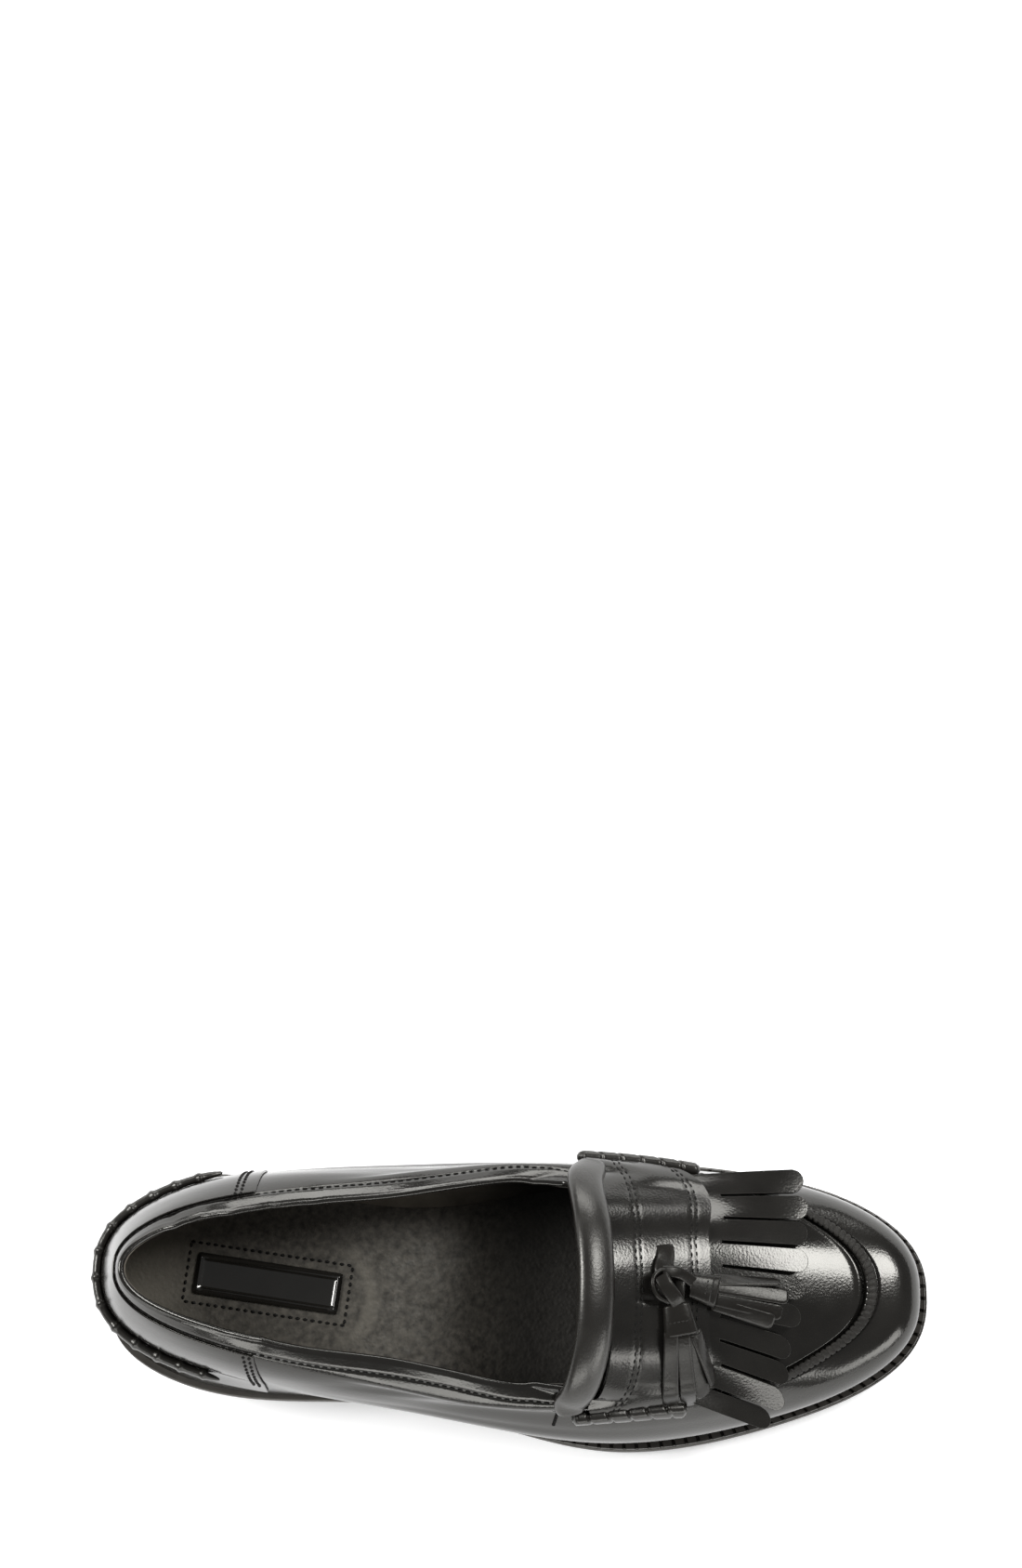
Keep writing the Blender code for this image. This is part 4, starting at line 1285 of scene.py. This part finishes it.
class LOAFER_OT_welt(bpy.types.Operator):
    """Build the ribbed welt round the forepart"""

    bl_idname = "loafer.welt"
    bl_label = "Welt"

    def execute(self, context):
        samples = np.linspace(WELT_LATERAL_END, WELT_MEDIAL_END, 4 * SAMPLES)
        gone = distances(ring_points(SOLE_EDGE, samples))
        pitch = sizes().rib_pitch / MM
        ribs = round(gone[-1] / pitch)
        way = np.linspace(0, gone[-1], ribs * WELT_COLUMNS + 1)
        angles = np.interp(way, gone, samples)
        notch = 1 - ramp(np.abs(to_nearest(way, gone[-1] / ribs)), *WELT_NOTCH)[:, None]
        level = np.full_like(angles, WELT_RISE)
        inner = upper_points(angles, level)
        outward = upper_normals(angles, level)[:, :2]
        inner[:, :2] += unit(outward) * GAP
        outer = ring_points(drawn_in(SOLE_EDGE, WELT_INSET), angles)
        across, up = np.array(WELT_SECTION).T[:, None]
        is_rim = (across > 0.9) & (up > 0.4)
        is_top = up > 0.9
        reach = across - WELT_NOTCH_REACH * notch * is_rim
        points = inner[:, None] + (outer - inner)[:, None] * reach[..., None]
        top = WELT_THICKNESS * up - sizes().rib_depth / MM * notch * is_top
        points[..., 2] = sole_top(points[..., 0]) + WELT_LIFT + top
        made = skinned(points)
        bmesh.ops.holes_fill(made, edges=[edge for edge in made.edges if edge.is_boundary])
        bmesh.ops.recalc_face_normals(made, faces=made.faces)
        add_piece("ribbed_welt", made, sole_rubber(), ("welt",))
        return {"FINISHED"}


def heel_slab(height_from, height_to, inset):
    """A slab of the heel block between two heights, given as functions of x."""
    half = (SOLE_EDGE.toe_x - SOLE_EDGE.heel_x) / 2
    breast = math.acos((HEEL_BREAST_X - SOLE_EDGE.heel_x) / half - 1)
    ring = drawn_in(SOLE_EDGE, HEEL_INSET + inset)
    angles = np.linspace(math.pi, breast, HEEL_FACES[0] + 1)
    shares = np.linspace(0, 1, HEEL_FACES[1] + 1)
    medial = ring_points(ring, angles)
    lateral = ring_points(ring, -angles)
    plan = lateral[:, None] + (medial - lateral)[:, None] * shares[None, :, None]
    seat = sole_line(plan[..., 0])

    def at(height):
        level = height(plan[..., 0])
        taper = HEEL_TAPER + (1 - HEEL_TAPER) * level / seat
        centre = np.array((HEEL_CENTRE_X, SOLE_EDGE.mids[0], 0.0))
        spots = centre + (plan - centre) * taper[..., None]
        spots[..., 2] = level
        return spots

    made = skinned(at(height_from))
    copied = bmesh.ops.extrude_face_region(made, geom=made.faces[:], use_keep_orig=True)
    corners = [item for item in copied["geom"] if isinstance(item, bmesh.types.BMVert)]
    lower = to_frame(at(height_from)).reshape(-1, 3)
    upper = to_frame(at(height_to)).reshape(-1, 3)
    for corner in corners:
        nearest = np.argmin(np.abs(lower - np.array(corner.co)).sum(axis=1))
        corner.co = upper[nearest]
    bmesh.ops.recalc_face_normals(made, faces=made.faces)
    rims = [edge for edge in made.edges if edge.calc_face_angle(0.0) > HEEL_RIM_ANGLE]
    bmesh.ops.bevel(
        made, geom=rims, offset=HEEL_RIM * MM, affect="EDGES", segments=3, profile=0.5, material=-1,
    )
    return made


class LOAFER_OT_heel(bpy.types.Operator):
    """Build the heel block and its top lift"""

    bl_idname = "loafer.heel"
    bl_label = "Heel"

    def execute(self, context):
        def level(height):
            return lambda x: np.full_like(x, height)

        def seat(x):
            return sole_line(x) - HEEL_SEAT_SEAM

        block = heel_slab(level(HEEL_LIFT + HEEL_LIFT_SEAM), seat, HEEL_BLOCK_INSET)
        lift = heel_slab(level(0.0), level(HEEL_LIFT), 0.0)
        add_piece("heel_block", block, sole_rubber(), ("heel",))
        add_piece("heel_top_lift", lift, sole_rubber())
        return {"FINISHED"}


def insole_height(x):
    return sole_top(x) + GAP + INSOLE_THICKNESS


def insole_edge(angles):
    """Where the sock meets the lining."""
    return lifted(angles, np.full_like(angles, INSOLE_EDGE_RISE), np.full_like(angles, -INSOLE_INSET))


def insole_points():
    """Points of the sock: flat along its middle and cupped up to its edge."""
    angles = np.linspace(math.pi, 0, SOCK_FACES[0] + 1)
    shares = np.linspace(-1, 1, SOCK_FACES[1] + 1)[None, :]
    medial = insole_edge(angles)[:, None]
    lateral = insole_edge(-angles)[:, None]
    middle = (medial + lateral) / 2
    edge = np.where(shares[..., None] < 0, lateral, medial)
    points = middle + (edge - middle) * np.abs(shares)[..., None]
    level = insole_height(points[..., 0])
    points[..., 2] = level + (edge[..., 2] - level) * np.abs(shares) ** SOCK_CUP
    return points


def patch_spots(x, y):
    """Spots of the label patch, given along and across it, on the insole."""
    cos = math.cos(PATCH_TURN)
    sin = math.sin(PATCH_TURN)
    spots_x = PATCH_CENTRE[0] + x * cos - y * sin
    spots_y = PATCH_CENTRE[1] + x * sin + y * cos
    return np.stack([spots_x, spots_y, insole_height(spots_x)], axis=-1)


class LOAFER_OT_insole(bpy.types.Operator):
    """Build the insole with its bare label plaque"""

    bl_idname = "loafer.insole"
    bl_label = "Insole"

    def execute(self, context):
        made = skinned(insole_points())
        piece = add_piece("sock_insole", made, sock_leather(), ("insole",))
        thickened(piece, SOCK_THICKNESS * MM, SOCK_EDGE, offset=-1)
        x = np.linspace(-0.5, 0.5, PLAQUE_FACES[0] + 1)[:, None] * PLAQUE_SIZE[0]
        y = np.linspace(-0.5, 0.5, PLAQUE_FACES[1] + 1)[None, :] * PLAQUE_SIZE[1]
        x, y = np.broadcast_arrays(x, y)
        plaque = patch_spots(x, y)
        from_rim = np.minimum(PLAQUE_SIZE[0] / 2 - np.abs(x), PLAQUE_SIZE[1] / 2 - np.abs(y))
        plaque[..., 2] += PLAQUE_LIFT + pressed(PLAQUE_RIM, from_rim)
        label = add_piece("label_plaque", skinned(plaque), plaque_finish())
        thickened(label, sizes().plaque, PLAQUE_EDGE)
        return {"FINISHED"}


# Stitching: half length, half width and half height of a stitch in each row
STITCH = (0.85, 0.36, 0.3)
TOPLINE_STITCH = (0.95, 0.27, 0.26)
COUNTER_STITCH = (0.72, 0.58, 0.45)
PATCH_STITCH = (0.8, 0.52, 0.3)
TACK_STITCH = (0.4, 0.6, 0.4)

# Where the rows run, and how high their threads lie on the leather
TOPLINE_FROM = math.radians(80)
TOPLINE_TO = math.radians(280)
TOPLINE_SUNK = -0.08
SADDLE_SEWN = (0.04, 0.96)
COUNTER_SEWN = (0.16, 0.84)
COUNTER_SEWN_TOP = 0.86
COUNTER_SEWN_SPOTS = 60
COUNTER_STITCH_LIFT = 0.08
COUNTER_PITCH = 0.9
TACK_ANGLE = math.radians(-88.3)
TACK_RISES = (0.60, 0.36)
TACK_SPOTS = 40
TACK_LIFT = 0.1
TACK_PITCH = 0.8
PATCH_SPOTS = 30
PATCH_STITCH_LIFT = 0.12
PATCH_PITCH = 0.95

# The counter's rows: side of the shoe (-1 is lateral), and distance behind the counter's front edge
COUNTER_ROWS = ((-1, 1.8), (-1, 3.6), (1, 4.6), (1, 6.4))

# A short row of stitches across the top of each tassel's head, at these points of it
HEAD_STITCH = (0.55, 0.3, 0.25)
HEAD_STITCH_PITCH = 1.3
HEAD_MARK_COLUMN = 18
HEAD_MARK_ROWS = slice(6, 13)


def sew_topline(made, pitch):
    angles = np.linspace(TOPLINE_FROM, TOPLINE_TO, SAMPLES)
    rises = below_collar(angles, sizes().topline / MM)
    sew_on_upper(made, angles, rises, TOPLINE_SUNK, pitch, TOPLINE_STITCH)


def sew_saddle(made, pitch):
    u = np.linspace(*SADDLE_SEWN, SAMPLES)
    for row in SADDLE_STITCH_ROWS:
        v = np.full_like(u, row)
        lift = saddle_lift(v) + sizes().overlay / MM - SADDLE_DIP
        spots = on_saddle(u, v, lift)
        outs = unit(on_saddle(u, v, lift + 1.0) - spots)
        sew(made, spots, outs, pitch, STITCH)


def sew_counter(made, pitch):
    rises = np.linspace(*COUNTER_SEWN, COUNTER_SEWN_SPOTS)
    share = (rises - COUNTER_FOOT_RISE) / (COUNTER_SEWN_TOP - COUNTER_FOOT_RISE)
    lift = sizes().counter / MM + COUNTER_STITCH_LIFT
    for side, behind in COUNTER_ROWS:
        front_x = COUNTER_FOOT_X + (COUNTER_TOP_X - COUNTER_FOOT_X) * share - behind
        angles = side * np.array([angle_at(x, rise) for x, rise in zip(front_x, rises)])
        sew_on_upper(made, angles, rises, lift, pitch, COUNTER_STITCH)


def sew_tack(made):
    """Close stitches that hold the end of the lateral roll."""
    rises = np.linspace(*TACK_RISES, TACK_SPOTS)
    sew_on_upper(made, np.full_like(rises, TACK_ANGLE), rises, TACK_LIFT, TACK_PITCH, TACK_STITCH)


def sew_patch(made, pitch):
    half_x = PATCH_SIZE[0] / 2
    half_y = PATCH_SIZE[1] / 2
    corners = ((-half_x, -half_y), (half_x, -half_y), (half_x, half_y), (-half_x, half_y), (-half_x, -half_y))
    way = np.linspace(0, 1, PATCH_SPOTS)
    for start, end in zip(corners, corners[1:]):
        spots = patch_spots(start[0] + (end[0] - start[0]) * way, start[1] + (end[1] - start[1]) * way)
        spots[:, 2] += PATCH_STITCH_LIFT
        sew(made, spots, np.tile(UP, (PATCH_SPOTS, 1)), pitch, PATCH_STITCH)


class LOAFER_OT_stitching(bpy.types.Operator):
    """Sew the topline, the saddle, the counter and the label patch"""

    bl_idname = "loafer.stitching"
    bl_label = "Stitching"

    def execute(self, context):
        pitch = sizes().stitch_pitch / MM
        made = bmesh.new()
        sew_topline(made, pitch)
        sew_saddle(made, pitch)
        sew_counter(made, pitch * COUNTER_PITCH)
        sew_tack(made)
        add_piece("upper_stitching", made, sewing_thread())
        made = bmesh.new()
        sew_patch(made, pitch * PATCH_PITCH)
        add_piece("label_stitching", made, sewing_thread())
        return {"FINISHED"}


# Tassels

def over(ground, spots):
    """Spots given as x, y and height over the leather below them."""
    return [(x, y, ground(x, y) + height) for x, y, height in spots]


def thong_taper(u):
    """Width factor along a thong: a little slimmer at its ends."""
    return THONG_END_WIDTH + (1 - THONG_END_WIDTH) * rounded_ends(u, THONG_BLUNT)


def tassel_strip(strip, ground):
    """A cut strip of a tassel, from under its wrap to a rounded tip that lies on the shoe."""
    spots = []
    for share in np.linspace(0, 1, STRIP_SPOTS):
        x = strip.root_x + (strip.tip_x - strip.root_x) * share
        y = strip.root_y + (strip.tip_y - strip.root_y) * share
        rest = ground(x, y) + STRIP_THICKNESS / 2 + strip.height
        spots.append((x, y, rest + STRIP_ROOT_LIFT * (1 - share) ** STRIP_ROOT_FALL))
    tilt = strip.turn * np.sin(np.linspace(STRIP_TURN_STARTS, 1, STRAP_FACES[0] + 1) * math.pi / 2)

    def taper(u):
        width = STRIP_ROOT_WIDTH + (1 - STRIP_ROOT_WIDTH) * u
        return width * rounded_ends(np.maximum(u, 0.5), STRIP_TIP_BLUNT)

    return strap(spots, STRIP_WIDTH, STRIP_THICKNESS, tilt, taper)


def tassel_head(head, ground):
    """The wrapped head of a tassel: a flattened tube, flared towards its strips."""
    u = np.linspace(0, 1, HEAD_FACES[0] + 1)
    turn = np.linspace(0, 2 * math.pi, HEAD_FACES[1] + 1)
    run = unit(np.array((head.x_to - head.x_from, head.y_to - head.y_from, 0.0)))
    side = np.array((-run[1], run[0], 0.0))
    x = head.x_from + (head.x_to - head.x_from) * u
    y = head.y_from + (head.y_to - head.y_from) * u
    rest = np.array([ground(*spot) for spot in zip(x, y)])
    base = np.maximum(rest[0] + (rest[-1] - rest[0]) * u, rest) + HEAD_LIFT
    centre = np.stack([x, y, base + head.half_height], axis=-1)
    flare = HEAD_REAR_WIDTH + (1 - HEAD_REAR_WIDTH) * u
    size = (rounded_ends(u, HEAD_BLUNT) * flare)[:, None]
    across = head.half_width * size * squared(np.cos(turn), HEAD_SQUARE[0])
    above = head.half_height * size * squared(np.sin(turn), HEAD_SQUARE[1])
    points = centre[:, None] + side * across[..., None] + np.array(UP) * above[..., None]
    made = skinned(points, closed=True)
    mark = points[HEAD_MARK_COLUMN, HEAD_MARK_ROWS]
    sew(made, mark, np.tile(UP, (len(mark), 1)), HEAD_STITCH_PITCH, HEAD_STITCH)
    return made


class LOAFER_OT_tassels(bpy.types.Operator):
    """Build the tassels: thongs, wrapped heads and cut strips"""

    bl_idname = "loafer.tassels"
    bl_label = "Tassels"

    def execute(self, context):
        ground = ground_under("upper_leather", "saddle_band", "fringed_leaf")
        made = bmesh.new()
        for thong in THONGS:
            spots = over(ground, thong.spots)
            joined(made, strap(spots, thong.width, thong.thickness, thong.tilt, thong_taper))
        add_piece("tassel_thongs", made, tassel_leather(), ("tassel_knot",))
        for head in TASSEL_HEADS:
            add_piece(head.name, tassel_head(head, ground), tassel_leather(), (head.node,))
        for name, strips, node in (
            ("tassel_front_strips", FRONT_STRIPS, "tassel_front_skirt"),
            ("tassel_side_strips", SIDE_STRIPS, "tassel_side_skirt"),
        ):
            made = bmesh.new()
            for strip in strips:
                joined(made, tassel_strip(strip, ground))
            add_piece(name, made, tassel_leather(), (node,))
        return {"FINISHED"}


# Stage

# Softboxes: place and size in metres, watts, and the spot on the shoe that they face
Softbox = namedtuple("Softbox", "name place size watts facing")
SOFTBOXES = (
    Softbox("front softbox", (1.0, 0.5, 1.25), (0.5, 0.5), 18.0, (0.06, 0.0, 0.04)),
    Softbox("corner softbox", (1.3, -1.2, 0.4), (0.9, 0.5), 9.0, (0.06, 0.0, 0.04)),
    Softbox("back softbox", (-1.3, 0.3, 1.2), (0.7, 0.7), 36.0, (-0.06, 0.0, 0.05)),
    Softbox("near softbox", (0.0, -1.8, 0.6), (1.8, 0.5), 19.0, (0.0, 0.0, 0.03)),
    Softbox("far softbox", (0.1, 1.8, 0.6), (1.8, 0.5), 22.0, (0.0, 0.0, 0.03)),
)
WORLD_LIGHT = 0.23
FLOOR_SIZE = 6.0
FLOOR_CELLS = 8
FLOOR_GLOW = 0.3
FLOOR_ROUGHNESS = 0.9
FLOOR_SHINE = 0.1
WHITE = (1, 1, 1, 1)
CAMERA_PLACE = (0.6, -104.3, 1500.0)
CAMERA_TILT = math.radians(10.35)
CAMERA_LENS = 106.8
SENSOR = 36.0


def add_softbox(row):
    data = bpy.data.lights.new(row.name, "AREA")
    data.shape = "RECTANGLE"
    data.size, data.size_y = row.size
    data.energy = row.watts
    lamp = bpy.data.objects.new(row.name, data)
    lamp.location = row.place
    aim = Vector(row.facing) - Vector(row.place)
    lamp.rotation_euler = aim.to_track_quat("-Z", "Y").to_euler()
    bpy.context.scene.collection.objects.link(lamp)


def add_floor():
    made = bmesh.new()
    bmesh.ops.create_grid(made, x_segments=FLOOR_CELLS, y_segments=FLOOR_CELLS, size=FLOOR_SIZE / 2)
    mesh = bpy.data.meshes.new("floor")
    made.to_mesh(mesh)
    made.free()
    paint = bpy.data.materials.new("pale floor")
    paint.use_nodes = True
    shader = paint.node_tree.nodes["Principled BSDF"]
    shader.inputs["Base Color"].default_value = (*bpy.context.scene.loafer_colours.floor, 1)
    shader.inputs["Emission Color"].default_value = WHITE
    shader.inputs["Emission Strength"].default_value = FLOOR_GLOW
    shader.inputs["Roughness"].default_value = FLOOR_ROUGHNESS
    shader.inputs["Specular IOR Level"].default_value = FLOOR_SHINE
    mesh.materials.append(paint)
    floor = bpy.data.objects.new("floor", mesh)
    bpy.context.scene.collection.objects.link(floor)


def add_camera():
    data = bpy.data.cameras.new("camera")
    data.lens = CAMERA_LENS
    data.sensor_width = SENSOR
    camera = bpy.data.objects.new("camera", data)
    camera.location = to_frame(CAMERA_PLACE)
    camera.rotation_euler = (CAMERA_TILT, 0, 0)
    bpy.context.scene.collection.objects.link(camera)
    bpy.context.scene.camera = camera


class LOAFER_OT_stage(bpy.types.Operator):
    """Set the pale floor, the soft studio light and the camera"""

    bl_idname = "loafer.stage"
    bl_label = "Stage"

    def execute(self, context):
        add_camera()
        add_floor()
        for row in SOFTBOXES:
            add_softbox(row)
        world = bpy.data.worlds.new("studio")
        world.use_nodes = True
        sky = world.node_tree.nodes["Background"]
        sky.inputs["Color"].default_value = WHITE
        sky.inputs["Strength"].default_value = WORLD_LIGHT
        context.scene.world = world
        context.scene.view_settings.view_transform = "Standard"
        return {"FINISHED"}


STEPS = (
    LOAFER_OT_stage,
    LOAFER_OT_upper,
    LOAFER_OT_lining,
    LOAFER_OT_counter,
    LOAFER_OT_apron_seam,
    LOAFER_OT_rolls,
    LOAFER_OT_saddle,
    LOAFER_OT_kiltie,
    LOAFER_OT_outsole,
    LOAFER_OT_welt,
    LOAFER_OT_heel,
    LOAFER_OT_insole,
    LOAFER_OT_stitching,
    LOAFER_OT_tassels,
)


class LOAFER_PT_pieces(bpy.types.Panel):
    """Lists the pieces of the loafer, with their sizes and colours"""

    bl_idname = "LOAFER_PT_pieces"
    bl_label = "Tassel loafer"
    bl_space_type = "VIEW_3D"
    bl_region_type = "UI"
    bl_category = "Loafer"

    def draw(self, context):
        for step in STEPS:
            self.layout.operator(step.bl_idname)
        for group in (context.scene.loafer_sizes, context.scene.loafer_colours):
            for name in group.__annotations__:
                self.layout.prop(group, name)


CLASSES = (LoaferSizes, LoaferColours, *STEPS, LOAFER_PT_pieces)


def register():
    for row in CLASSES:
        bpy.utils.register_class(row)
    bpy.types.Scene.loafer_sizes = bpy.props.PointerProperty(type=LoaferSizes)
    bpy.types.Scene.loafer_colours = bpy.props.PointerProperty(type=LoaferColours)


def unregister():
    del bpy.types.Scene.loafer_colours
    del bpy.types.Scene.loafer_sizes
    for row in reversed(CLASSES):
        bpy.utils.unregister_class(row)


def main():
    register()
    for step in STEPS:
        group, name = step.bl_idname.split(".")
        getattr(getattr(bpy.ops, group), name)()


if __name__ == "__main__":
    main()
